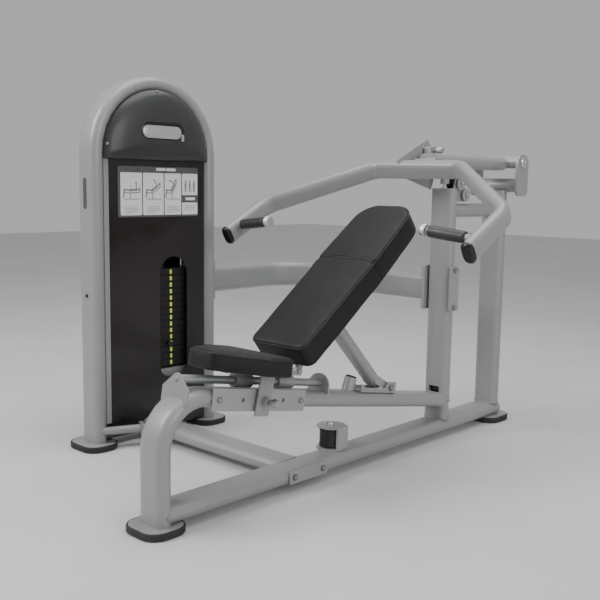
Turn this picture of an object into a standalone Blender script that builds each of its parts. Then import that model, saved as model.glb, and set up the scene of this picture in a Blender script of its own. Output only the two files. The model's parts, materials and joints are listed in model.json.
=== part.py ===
"""Multi-position chest press machine with a selectorised weight stack.

Frame: +Z up, +X to the user's left, +Y toward the head end. The origin is on the floor,
at the centre of the rear foot's sole. Lengths are metres, angles are degrees.
"""
import math

import bmesh
import bpy
from mathutils import Matrix, Vector

# Driving dimensions
GAP = 0.0003                    # between pieces that rest on each other
TUBE_WIDE = 0.110               # flat-oval frame tube
TUBE_THIN = 0.055
SOLE_HEIGHT = 0.018
FOOT_PLATE = 0.005
FOOT_CORNER = 0.055
FOOT_LIP = 0.0048                # the rubber's rim beside the metal plate set into it
BASE_Z = SOLE_HEIGHT + GAP + FOOT_PLATE + TUBE_THIN / 2

FRONT_POST_Y = -1.829
MAIN_UPRIGHT_Y = -0.386
MAIN_UPRIGHT_TOP = 1.015
CROSS_TUBE_Y = -1.228

RAIL_SLOPE = 10.0               # the bench rail falls toward the head end
RAIL_ORIGIN = Vector((0.0, -1.065, 0.2728))
FRONT_BEND = 0.140
REAR_BEND = 0.050
ROD_HEIGHT = 0.053              # guide rod axis above the rail axis
ROD_RADIUS = 0.013

TOWER_X = -0.832
TOWER_FRONT_Y = -1.486
TOWER_REAR_Y = -0.939
TOWER_ARCH_Z = 1.128
PANEL_X = 0.032                 # front shroud's rear face, in front of the tower's mid plane
COWL_X = 0.0445
BRACE_START = Vector((-0.790, -1.486, 0.068))
BRACE_END = Vector((-0.675, -1.228, 0.068))
BRACE_SPLIT = 0.55              # share of the brace that belongs to the tower
STACK_Y = -1.140
PLATE_COUNT = 15
LIFTED_COUNT = 12               # plates above the selector pin, the head plate included
PLATE_PITCH = 0.0268
STACK_BOTTOM = 0.2735

PIVOT = Vector((0.0, 0.026, 1.130))         # press arm's main pivot, axis X
PIVOT_DROP = 0.099                          # pivot to the carrier tube below it
ADJUST = Vector((0.0, -0.525, 1.088))       # start-position pivot, axis X
ARM_CENTRE = Vector((0.0, -0.579, 1.085))   # middle of the U-shaped press arm
ARM_TILT = 29.0
STEM_Z = 1.122
BACK_ANGLE = 37.0
BACK_HINGE = (-0.232, 0.096)                # along the rail, above its axis
BACK_THICK = 0.097
BACK_STANDOFF = 0.120                       # hinge axis to the back pad's front face
STRUT_PIN = (0.303, 0.048)
STRUT_FOOT = (0.238, 0.066)                 # where the strut's body ends above its fork
STRUT_ANCHOR = (0.254, -0.127)              # up the back pad, behind its front face
SEAT_PIN_ALONG = -0.399
SEAT_TRAVEL = (-0.080, 0.100)               # the other two positions of the seat
INDEX_PIN_Y = -0.430                        # start-position pin on the press stem
INDEX_PIN_Z = 1.164

X_AXIS = Vector((1.0, 0.0, 0.0))
Z_AXIS = Vector((0.0, 0.0, 1.0))
# Local x, y, z point along world Y, Z, X: a plate drawn from the side
SIDE_ON = Matrix(((0, 0, 1, 0), (1, 0, 0, 0), (0, 1, 0, 0), (0, 0, 0, 1)))
# Local x, y, z point along world X, Z, -Y: a plate drawn from the front
FACE_ON = Matrix(((1, 0, 0, 0), (0, 0, -1, 0), (0, 1, 0, 0), (0, 0, 0, 1)))


def clear_scene():
    for thing in list(bpy.data.objects):
        bpy.data.objects.remove(thing, do_unlink=True)


def make_material(name, colour, metallic, roughness):
    material = bpy.data.materials.new(name)
    material.use_nodes = True
    shader = material.node_tree.nodes["Principled BSDF"]
    shader.inputs["Base Color"].default_value = (*colour, 1.0)
    shader.inputs["Metallic"].default_value = metallic
    shader.inputs["Roughness"].default_value = roughness
    return material


# Frames

def at(x, y, z):
    return Matrix.Translation((x, y, z))


def tilt(degrees):
    return Matrix.Rotation(math.radians(degrees), 4, "X")


def on_rail(along=0.0, height=0.0, x=0.0):
    """Local y runs down the rail and local z stands off it."""
    return Matrix.Translation(RAIL_ORIGIN) @ tilt(-RAIL_SLOPE) @ at(x, along, height)


def on_back(along=0.0, height=0.0):
    """Local y runs up the back pad from its lower end, local z out of its front face."""
    hinge = on_rail(*BACK_HINGE).translation
    return Matrix.Translation(hinge) @ tilt(BACK_ANGLE) @ at(0, along, height + BACK_STANDOFF)


def on_arm(x=0.0, forward=0.0, height=0.0):
    """The plane of the U-shaped arm: local -y runs forward and down."""
    return Matrix.Translation(ARM_CENTRE) @ tilt(ARM_TILT) @ at(x, -forward, height)


# Outlines in a plane

def arc(centre, radius, start, end, steps):
    points = []
    for step in range(steps + 1):
        angle = math.radians(start + (end - start) * step / steps)
        points.append((centre[0] + radius * math.cos(angle), centre[1] + radius * math.sin(angle)))
    return points


def circle(centre, radius, steps=14):
    return arc(centre, radius, 0, 360, steps)[:-1]


def stadium(wide, thin, steps=5):
    """A flat oval, wide along the first axis."""
    reach = (wide - thin) / 2
    return arc((reach, 0), thin / 2, -90, 90, steps) + arc((-reach, 0), thin / 2, 90, 270, steps)


def rounded(corners, radius, steps=2):
    """A polygon with rounded corners, by one radius or by a tuple of them."""
    points = []
    count = len(corners)
    radii = radius if isinstance(radius, tuple) else (radius,) * count
    for index in range(count):
        corner = Vector(corners[index])
        before = (Vector(corners[index - 1]) - corner).normalized()
        after = (Vector(corners[(index + 1) % count]) - corner).normalized()
        half = before.angle(after) / 2
        centre = corner + (before + after).normalized() * radii[index] / math.sin(half)
        first = corner + before * radii[index] / math.tan(half) - centre
        last = corner + after * radii[index] / math.tan(half) - centre
        turn = first.angle_signed(last)
        for step in range(steps + 1):
            angle = -turn * step / steps
            points.append(tuple(centre + Matrix.Rotation(angle, 2) @ first))
    return points


def rectangle(width, height, radius=0.0, centre=(0.0, 0.0), steps=2):
    half_w, half_h = width / 2, height / 2
    corners = [(half_w, -half_h), (half_w, half_h), (-half_w, half_h), (-half_w, -half_h)]
    corners = [(x + centre[0], y + centre[1]) for x, y in corners]
    return rounded(corners, radius, steps) if radius else corners


def link(first, second, first_radius, second_radius):
    """A tapered bar seen from the side, round about its two ends."""
    heading = math.degrees(math.atan2(second[1] - first[1], second[0] - first[0]))
    far_end = arc(second, second_radius, heading - 90, heading + 90, 8)
    return far_end + arc(first, first_radius, heading + 90, heading + 270, 8)


# Solids, each returned as a bmesh in world space

def prism(levels, holes=(), frame=Matrix()):
    """Outlines stacked along local z as (z, outline), with holes through all of them."""
    shape = bmesh.new()

    def ring(outline, z):
        return [shape.verts.new((x, y, z)) for x, y in outline]

    def wall(lower, upper):
        for index in range(len(lower)):
            after = (index + 1) % len(lower)
            shape.faces.new((lower[index], lower[after], upper[after], upper[index]))

    bottom_z, top_z = levels[0][0], levels[-1][0]
    rings = [ring(outline, z) for z, outline in levels]
    for lower, upper in zip(rings, rings[1:]):
        wall(lower, upper)
    hole_rings = [(ring(hole, bottom_z), ring(hole, top_z)) for hole in holes]
    for lower, upper in hole_rings:
        wall(lower, upper)
    for side, loop in ((0, rings[0]), (1, rings[-1])):
        loops = [loop] + [pair[side] for pair in hole_rings]
        edges = []
        for verts in loops:
            for index in range(len(verts)):
                edges.append(shape.edges.get((verts[index], verts[(index + 1) % len(verts)])))
        bmesh.ops.triangle_fill(shape, edges=edges, use_beauty=True)
    bmesh.ops.recalc_face_normals(shape, faces=shape.faces)
    shape.transform(frame)
    return shape


def plate(outline, thickness, frame=Matrix(), holes=()):
    return prism([(0.0, outline), (thickness, outline)], holes, frame)


def turned(profile, frame=Matrix(), segments=18):
    """A (radius, z) outline revolved about local z; it may touch the axis at its two ends."""
    shape = bmesh.new()
    solid_core = profile[0][0] == 0.0
    rings = []
    for radius, z in profile:
        if radius == 0.0:
            rings.append([shape.verts.new((0, 0, z))])
            continue
        rings.append([shape.verts.new((x, y, z)) for x, y in circle((0, 0), radius, segments)])
    pairs = list(zip(rings, rings[1:]))
    if not solid_core:
        pairs.append((rings[-1], rings[0]))
    for lower, upper in pairs:
        for index in range(segments):
            after = (index + 1) % segments
            corners = [lower[index % len(lower)], lower[after % len(lower)]]
            corners += [upper[after % len(upper)], upper[index % len(upper)]]
            shape.faces.new(list(dict.fromkeys(corners)))
    bmesh.ops.recalc_face_normals(shape, faces=shape.faces)
    shape.transform(frame)
    return shape


def cylinder(radius, length, frame=Matrix(), segments=18):
    return turned([(0, 0), (radius, 0), (radius, length), (0, length)], frame, segments)


def pipe(outer, inner, length, frame=Matrix(), segments=18):
    return turned([(inner, 0), (outer, 0), (outer, length), (inner, length)], frame, segments)


def bolt_head(radius, height, frame):
    """A round button head."""
    profile = [(0, 0), (radius, 0), (radius, height * 0.5), (radius * 0.75, height), (0, height)]
    return turned(profile, frame, 10)


def bent_path(corners, radius, steps=6):
    """A path through the corners with each inner one rounded by the bend radius."""
    path = [Vector(corners[0])]
    for index in range(1, len(corners) - 1):
        corner = Vector(corners[index])
        before = (Vector(corners[index - 1]) - corner).normalized()
        after = (Vector(corners[index + 1]) - corner).normalized()
        half = before.angle(after) / 2
        centre = corner + (before + after).normalized() * radius / math.sin(half)
        first = (corner + before * radius / math.tan(half) - centre).normalized()
        last = (corner + after * radius / math.tan(half) - centre).normalized()
        path += [centre + first.slerp(last, step / steps) * radius for step in range(steps + 1)]
    path.append(Vector(corners[-1]))
    return path


def swept(path, profile, side, frame=Matrix()):
    """A profile carried along a flat path whose plane's normal is side."""
    shape = bmesh.new()
    rings = []
    for index, point in enumerate(path):
        ahead = path[min(index + 1, len(path) - 1)]
        behind = path[max(index - 1, 0)]
        across = (ahead - behind).normalized().cross(side)
        rings.append([shape.verts.new(point + side * a + across * b) for a, b in profile])
    count = len(profile)
    for lower, upper in zip(rings, rings[1:]):
        for index in range(count):
            after = (index + 1) % count
            shape.faces.new((lower[index], lower[after], upper[after], upper[index]))
    shape.faces.new(rings[0])
    shape.faces.new(rings[-1])
    bmesh.ops.recalc_face_normals(shape, faces=shape.faces)
    shape.transform(frame)
    return shape


def dome_shell(outline, centre, bulge, thickness, frame):
    """A curved cover over an outline, open at the back."""
    shape = bmesh.new()
    shrinks = (1.0, 0.97, 0.85, 0.62, 0.32)
    layers = []
    for offset in (0.0, -thickness):
        rings = []
        for shrink in shrinks:
            height = bulge * (1 - shrink ** 3) ** 0.5 + thickness
            ring = []
            for x, y in outline:
                px = centre[0] + (x - centre[0]) * shrink
                py = centre[1] + (y - centre[1]) * shrink
                ring.append(shape.verts.new((px, py, height + offset)))
            rings.append(ring)
        layers.append(rings)
    for rings in layers:
        for lower, upper in zip(rings, rings[1:]):
            for index in range(len(outline)):
                after = (index + 1) % len(outline)
                shape.faces.new((lower[index], lower[after], upper[after], upper[index]))
        shape.faces.new(rings[-1])
    outer, inner = layers[0][0], layers[1][0]
    for index in range(len(outline)):
        after = (index + 1) % len(outline)
        shape.faces.new((outer[index], outer[after], inner[after], inner[index]))
    bmesh.ops.recalc_face_normals(shape, faces=shape.faces)
    shape.transform(frame)
    return shape


# Objects

def to_mesh(name, shape):
    mesh = bpy.data.meshes.new(name)
    shape.to_mesh(mesh)
    shape.free()
    mesh.shade_smooth()
    mesh.set_sharp_from_angle(angle=math.radians(35))
    return mesh


def helper(name, shape):
    tool = bpy.data.objects.new(name, to_mesh(name, shape))
    bpy.context.collection.objects.link(tool)
    tool.hide_render = True
    tool.display_type = "WIRE"
    return tool


def make_joint(name, position):
    """An empty on a joint's axis."""
    joint = bpy.data.objects.new(name, None)
    joint.location = position
    bpy.context.collection.objects.link(joint)
    bpy.context.view_layer.update()
    return joint


def make_part(name, material, shape, add=(), cut=(), joint=None, bevel=0.0):
    """One sub-part: a solid, with others joined to it and cut from it."""
    origin = Vector(joint.matrix_world.translation) if joint else Vector()
    shape.transform(Matrix.Translation(-origin))
    part = bpy.data.objects.new(name, to_mesh(name, shape))
    part.data.materials.append(material)
    bpy.context.collection.objects.link(part)
    if joint:
        part.parent = joint
    if bevel:
        edge = part.modifiers.new("Edge", "BEVEL")
        edge.width = bevel
        edge.segments = 2
        edge.limit_method = "ANGLE"
        edge.angle_limit = math.radians(50)
    for operation, shapes in (("UNION", add), ("DIFFERENCE", cut)):
        for index, other in enumerate(shapes):
            tool = helper(f"{name}_{operation.lower()}_{index}", other)
            step = part.modifiers.new(tool.name, "BOOLEAN")
            step.operation = operation
            step.object = tool
    return part


def oval_tube(path, frame=Matrix(), side=X_AXIS):
    return swept(path, stadium(TUBE_WIDE, TUBE_THIN), side, frame)


def foot_outline(wide, deep, inset=0.0):
    return rectangle(wide - 2 * inset, deep - 2 * inset, FOOT_CORNER - inset, steps=5)


def foot_plate(x, y, wide, deep, thickness=FOOT_PLATE - GAP):
    """The metal plate of a foot, set into its rubber sole."""
    return plate(foot_outline(wide, deep, 0.006), thickness, at(x, y, SOLE_HEIGHT + GAP))


def make_foot(name, material, x, y, wide, deep):
    sole, tread = foot_outline(wide, deep), foot_outline(wide, deep, 0.003)
    crown, pocket = foot_outline(wide, deep, 0.002), foot_outline(wide, deep, 0.0055)
    rim = SOLE_HEIGHT + FOOT_LIP
    levels = [(0.0, tread), (0.003, sole), (rim - 0.002, sole), (rim, crown)]
    recess = plate(pocket, 0.02, at(x, y, SOLE_HEIGHT))
    make_part(name, material, prism(levels, frame=at(x, y, 0)), cut=[recess])


# Frame

def brace_piece(start, end):
    """Part of the round brace between the tower's front leg and the cross tube."""
    run = BRACE_END - BRACE_START
    lean = run.to_track_quat("Z", "Y").to_matrix().to_4x4()
    frame = Matrix.Translation(BRACE_START + run * start) @ lean
    return cylinder(0.016, run.length * (end - start), frame, 20)


def brace_flange(offset):
    """One plate of the bolted joint in the brace."""
    run = BRACE_END - BRACE_START
    lean = run.to_track_quat("Z", "Y").to_matrix().to_4x4()
    frame = Matrix.Translation(BRACE_START + run * BRACE_SPLIT) @ lean @ at(0, 0, offset)
    return plate(rectangle(0.046, 0.046, 0.004), 0.006, frame)


def rail_rear_path():
    """The bench rail's axis from its middle to the base, bent down below the main upright."""
    corner = on_rail((MAIN_UPRIGHT_Y - RAIL_ORIGIN.y) / math.cos(math.radians(RAIL_SLOPE))).translation
    foot = (0, MAIN_UPRIGHT_Y, BASE_Z + TUBE_THIN / 2 + GAP)
    return bent_path([RAIL_ORIGIN, corner, foot], REAR_BEND)


def build_base(paint, plate_paint, rubber, steel):
    loose = stadium(TUBE_WIDE + 2 * GAP, TUBE_THIN + 2 * GAP)
    spine = oval_tube([Vector((0, FRONT_POST_Y, BASE_Z)), Vector((0, 0.030, BASE_Z))])
    post_cope = plate(loose, 0.2, at(0, FRONT_POST_Y, 0))
    rear_foot = foot_plate(0, 0, 0.172, 0.166, FOOT_PLATE + 0.003)
    make_part("base_tube", paint, spine, add=[rear_foot], cut=[post_cope])
    make_foot("foot_rear", rubber, 0, 0, 0.172, 0.166)

    top = BASE_Z + TUBE_THIN / 2
    reach = TOWER_X + PANEL_X + 0.003 + GAP
    cross = [Vector((x, CROSS_TUBE_Y, BASE_Z)) for x in (reach, -0.018)]
    profile = stadium(TUBE_WIDE, TUBE_THIN)
    brace = [brace_piece(BRACE_SPLIT + 0.01, 0.97), brace_flange(0.0)]
    spine_cope = swept([Vector((0, CROSS_TUBE_Y + y, BASE_Z)) for y in (-0.1, 0.1)], loose, X_AXIS)
    make_part("cross_tube", paint, swept(cross, profile, Vector((0, 1, 0))), add=brace, cut=[spine_cope])

    joint_plate = plate(rectangle(0.186, 0.044, 0.006), 0.005, at(0.0556, CROSS_TUBE_Y, BASE_Z) @ SIDE_ON)
    heads = []
    for offset in (-0.070, 0.070):
        heads.append(bolt_head(0.010, 0.008, at(0.0600, CROSS_TUBE_Y + offset, BASE_Z) @ SIDE_ON))
    make_part("cross_joint_plate", paint, joint_plate, add=heads)

    # The upright stands on the bent end of the bench rail, which carries it to the base
    main_post = oval_tube([Vector((0, MAIN_UPRIGHT_Y, z)) for z in (0.150, MAIN_UPRIGHT_TOP)])
    window = plate(rectangle(0.050, 0.029, 0.003), 0.05, at(0, MAIN_UPRIGHT_Y - 0.01, 0.198) @ FACE_ON)
    cope = swept(rail_rear_path(), loose, X_AXIS)
    make_part("main_upright", paint, main_post, cut=[window, cope])
    rear_post = oval_tube([Vector((0, 0, z)) for z in (top + GAP, 1.010)])
    saddle = cylinder(0.030 + GAP, 0.16, at(-0.08, PIVOT.y, PIVOT.z - PIVOT_DROP) @ SIDE_ON, 24)
    make_part("rear_upright", paint, rear_post, cut=[saddle])

    tie_ends = [MAIN_UPRIGHT_Y + TUBE_THIN / 2 + GAP, -TUBE_THIN / 2 - GAP]
    tie = [Vector((0, y, 0.926)) for y in tie_ends]
    make_part("tie_tube", paint, swept(tie, stadium(0.085, 0.055), X_AXIS))

    screw = [(0, 0), (0.011, 0), (0.011, 0.006), (0.006, 0.006), (0.006, 0.0165), (0, 0.0165)]
    screw_frame = at(0, MAIN_UPRIGHT_Y, MAIN_UPRIGHT_TOP + GAP)
    make_part("arm_stop_screw", steel, turned(screw, screw_frame, 16))
    buffer_base = MAIN_UPRIGHT_TOP + 0.0165 + 2 * GAP
    buffer_top = STEM_Z - TUBE_THIN / 2 - GAP
    make_part("arm_stop_buffer", plate_paint,
              cylinder(0.018, buffer_top - buffer_base, at(0, MAIN_UPRIGHT_Y, buffer_base)), bevel=0.002)


def rod_bracket(along, half_base, low, shoulder, top):
    """A plate across the rail that holds one end of the guide rod; top is its upper arc."""
    outline = [(half_base, low), (half_base, shoulder)] + top
    outline += [(-half_base, shoulder), (-half_base, low)]
    return plate(outline, 0.007, on_rail(along) @ FACE_ON)


def build_bench_frame(paint, plate_paint, steel, rubber):
    bottom = SOLE_HEIGHT + FOOT_PLATE - 0.001
    post_on_rail = (FRONT_POST_Y - RAIL_ORIGIN.y) / math.cos(math.radians(RAIL_SLOPE))
    corner = on_rail(post_on_rail).translation
    front_path = bent_path([(0, FRONT_POST_Y, bottom), corner, RAIL_ORIGIN], FRONT_BEND, 8)
    rail = oval_tube(front_path[:-1] + rail_rear_path())
    front_bracket = rod_bracket(-0.698, 0.059, -0.020, 0.026, arc((0, ROD_HEIGHT), 0.018, 35, 145, 6))
    rear_bracket = rod_bracket(-0.060, 0.048, 0.010, 0.030, arc((0, 0.039), 0.048, 8, 172, 12))
    foot = foot_plate(0, FRONT_POST_Y, 0.165, 0.150)
    front_screw = bolt_head(0.009, 0.006, on_rail(-0.704, ROD_HEIGHT) @ FACE_ON)
    make_part("bench_frame", paint, rail, add=[front_bracket, rear_bracket, foot, front_screw])
    make_foot("foot_front", rubber, 0, FRONT_POST_Y, 0.165, 0.150)

    rod_start, rod_end = -0.698 + GAP, -0.067 - GAP
    rod_frame = on_rail(rod_start, ROD_HEIGHT) @ Matrix.Rotation(math.radians(-90), 4, "X")
    make_part("bench_guide_rod", steel, cylinder(ROD_RADIUS, rod_end - rod_start, rod_frame))

    stops = (SEAT_PIN_ALONG + SEAT_TRAVEL[0], SEAT_PIN_ALONG, SEAT_PIN_ALONG + SEAT_TRAVEL[1])
    holes = [circle((along, 0), 0.0075, 14) for along in stops]
    outline = rectangle(0.410, 0.070, 0.004, centre=(SEAT_PIN_ALONG, 0))
    side_plate = plate(outline, 0.005, on_rail(x=0.0556) @ SIDE_ON, holes)
    heads = [bolt_head(0.009, 0.006, on_rail(along, 0, 0.0600) @ SIDE_ON) for along in (-0.578, -0.214)]
    make_part("seat_index_plate", plate_paint, side_plate, add=heads)

    floor = TUBE_THIN / 2 + GAP
    profile = [(0, -0.010), (0.0225, -0.010), (0.0225, 0.046), (0.019, 0.049), (0, 0.049)]
    below = plate(rectangle(0.1, 0.1), 0.04, on_rail(0.0975, floor - 0.04))
    make_part("bench_bumper", plate_paint, turned(profile, on_rail(0.0975, floor) @ tilt(-13)), cut=[below])

    base = plate(rectangle(0.086, 0.212, 0.006, centre=(0, 0.230)), 0.005, on_rail(0, floor))
    side = [(0.126, floor + 0.001), (0.334, floor + 0.001), (0.334, 0.068), (0.284, 0.068)]
    side += [(0.270, 0.044), (0.150, 0.044), (0.142, 0.054), (0.126, 0.054)]
    joined = [plate(side, 0.006, on_rail(x=x) @ SIDE_ON) for x in (-0.041, 0.035)]
    joined.append(cylinder(0.007, 0.078, on_rail(*STRUT_PIN, -0.039) @ SIDE_ON, 16))
    joined.append(bolt_head(0.012, 0.007, on_rail(*STRUT_PIN, 0.0405) @ SIDE_ON))
    make_part("strut_clevis", paint, base, add=joined)


def build_connecting_arm(paint, plate_paint):
    height = 0.615
    start = (TOWER_X, TOWER_REAR_Y + TUBE_THIN / 2 + 0.006 + GAP, height)
    corner = (TOWER_X, MAIN_UPRIGHT_Y, height)
    end = (-0.062, MAIN_UPRIGHT_Y, height)
    tube = oval_tube(bent_path([start, corner, end], 0.20, 10), side=Z_AXIS)
    tower_plate = plate(rectangle(0.075, 0.165, 0.006), 0.006, at(TOWER_X, start[1], height) @ FACE_ON)
    clamp = plate(rectangle(0.078, 0.180, 0.006), 0.014, at(-0.0703, MAIN_UPRIGHT_Y, height) @ SIDE_ON)
    make_part("connecting_arm", paint, tube, add=[tower_plate, clamp])

    outer = plate(rectangle(0.062, 0.180, 0.006), 0.008, at(0.0556, MAIN_UPRIGHT_Y, height) @ SIDE_ON)
    heads = []
    for offset in (-0.075, 0.075):
        frame = at(0.063, MAIN_UPRIGHT_Y, height + offset) @ SIDE_ON
        heads.append(bolt_head(0.011, 0.009, frame))
    make_part("upright_clamp_plate", plate_paint, outer, add=heads)


def build_pulleys(plate_paint, nylon):
    """The pair of cable pulleys behind the main upright and the one on the base."""
    face = MAIN_UPRIGHT_Y + TUBE_THIN / 2 + GAP
    wheels = (("upper_pulley", -0.318, 1.034, 0.029), ("lower_pulley", -0.279, 0.989, 0.027))
    corners = [(face, 0.975), (face + 0.020, 0.962), (-0.262, 0.962), (-0.250, 0.992)]
    corners += [(-0.300, 1.058), (-0.340, 1.058), (face, 1.008)]
    cheeks = []
    for x in (-0.0215, 0.0175):
        cheeks.append(plate(rounded(corners, 0.005, 3), 0.004, at(x, 0, 0) @ SIDE_ON))
    for _, y, z, _ in wheels:
        cheeks.append(cylinder(0.006, 0.080, at(-0.040, y, z) @ SIDE_ON, 16))
        cheeks.append(cylinder(0.026, 0.005, at(0.030, y, z) @ SIDE_ON, 20))
        cheeks.append(bolt_head(0.010, 0.006, at(0.0345, y, z) @ SIDE_ON))
    web_outline = rectangle(0.010, 0.030, centre=(face + 0.005, 0.985))
    web = plate(web_outline, 0.043, at(-0.0215, 0, 0) @ SIDE_ON)
    make_part("pulley_bracket", plate_paint, web, add=cheeks)
    for name, y, z, radius in wheels:
        joint = make_joint(name + "_axis", (0, y, z))
        make_part(name, nylon, pulley_wheel(radius, 0.026, 0.0065, at(0, y, z) @ SIDE_ON), joint=joint)

    x, y = -0.020, -1.030
    low = BASE_Z + TUBE_THIN / 2 + GAP
    cover = rectangle(0.098, 0.100, 0.040, centre=(0.003, 0), steps=5)
    bracket = plate(cover, 0.006, at(x, y, low))
    top_cover = plate(cover, 0.006, at(x, y, low + 0.080))
    wall = plate(rectangle(0.008, 0.056, centre=(0.047, 0.010)), 0.084, at(x, y, low + 0.001))
    axle = cylinder(0.008, 0.084, at(x, y, low + 0.001), 16)
    head = bolt_head(0.012, 0.009, at(x, y, low + 0.0855))
    make_part("base_pulley_bracket", plate_paint, bracket, add=[top_cover, wall, axle, head])
    joint = make_joint("base_pulley_axis", (x, y, low + 0.043))
    drum = pulley_wheel(0.041, 0.062, 0.0085, at(x, y, low + 0.043), groove=0.0015, land=0.75)
    make_part("base_pulley", nylon, drum, joint=joint)


def pulley_wheel(radius, width, bore, frame, groove=0.006, land=0.2):
    """A wheel centred on local z, with a groove whose floor takes the given share of its width."""
    half = width / 2
    lip = land + 2.2 * groove / width
    profile = [(bore, -half), (radius, -half), (radius, -half * lip), (radius - groove, -half * land)]
    profile += [(radius - groove, half * land), (radius, half * lip), (radius, half), (bore, half)]
    return turned(profile, frame, 18)


# Press arm

def build_pivot(paint, steel):
    plate_x = 0.105
    lower_z = PIVOT.z - PIVOT_DROP
    tube = cylinder(0.030, 2 * plate_x + 0.002, at(-plate_x - 0.001, PIVOT.y, lower_z) @ SIDE_ON)
    front, rear, low, high = PIVOT.y - 0.045, PIVOT.y + 0.045, lower_z - 0.045, PIVOT.z + 0.031
    corners = [(rear, low), (rear, high), (front, high), (front, low)]
    outline = rounded(corners, (0.022, 0.040, 0.040, 0.022), 5)
    bore = [circle((PIVOT.y, PIVOT.z), 0.0153, 20)]
    ends = [plate(outline, 0.010, at(x, 0, 0) @ SIDE_ON, bore) for x in (plate_x, -plate_x - 0.010)]
    make_part("pivot_carrier", paint, tube, add=ends)
    reach = plate_x + 0.010 + GAP
    cap = [(0.015, reach), (0.025, reach), (0.025, reach + 0.005), (0.021, reach + 0.009),
           (0.009, reach + 0.009), (0.008, reach + 0.006), (0, reach + 0.006)]
    profile = [(radius, -x) for radius, x in reversed(cap)] + cap
    make_part("pivot_shaft", steel, turned(profile, at(0, PIVOT.y, PIVOT.z) @ SIDE_ON))


def build_stem(paint, steel):
    press = make_joint("press_arm_axis", PIVOT)
    hub = pipe(0.027, 0.0158, 0.204, at(-0.102, PIVOT.y, PIVOT.z) @ SIDE_ON)
    bar = oval_tube([Vector((0, PIVOT.y - 0.024, STEM_Z)), Vector((0, ADJUST.y + 0.030, STEM_Z))])
    boss = cylinder(0.026, 0.110, at(-0.055, ADJUST.y, ADJUST.z) @ SIDE_ON)
    nose = plate(rectangle(0.075, 0.046, 0.004, centre=(ADJUST.y + 0.030, 1.105)), 0.100,
                 at(-0.050, 0, 0) @ SIDE_ON)
    block_outline = rectangle(0.050, 0.034, 0.004, centre=(INDEX_PIN_Y, INDEX_PIN_Z - 0.004))
    block = plate(block_outline, 0.030, at(-0.056, 0, 0) @ SIDE_ON)
    shaft_hole = cylinder(0.0128, 0.13, at(-0.065, ADJUST.y, ADJUST.z) @ SIDE_ON, 20)
    pin_hole = cylinder(0.0064, 0.052, at(-0.066, INDEX_PIN_Y, INDEX_PIN_Z) @ SIDE_ON, 16)
    make_part("press_stem", paint, bar, add=[hub, boss, nose, block], cut=[shaft_hole, pin_hole], joint=press)

    adjust_shaft = cylinder(0.0125, 0.146, at(-0.073, ADJUST.y, ADJUST.z) @ SIDE_ON, 20)
    make_part("arm_adjust_shaft", steel, adjust_shaft, joint=press)

    pin = make_joint("arm_index_pin_axis", (-0.061, INDEX_PIN_Y, INDEX_PIN_Z))
    frame = pin.matrix_world @ SIDE_ON
    profile = [(0, 0), (0.006, 0), (0.006, 0.048), (0.0115, 0.050), (0.013, 0.056)]
    profile += [(0.013, 0.070), (0.009, 0.076), (0, 0.076)]
    make_part("arm_index_pin", steel, turned(profile, frame, 16), joint=pin)
    pin.parent = press
    pin.matrix_parent_inverse = press.matrix_world.inverted()
    return press


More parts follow.
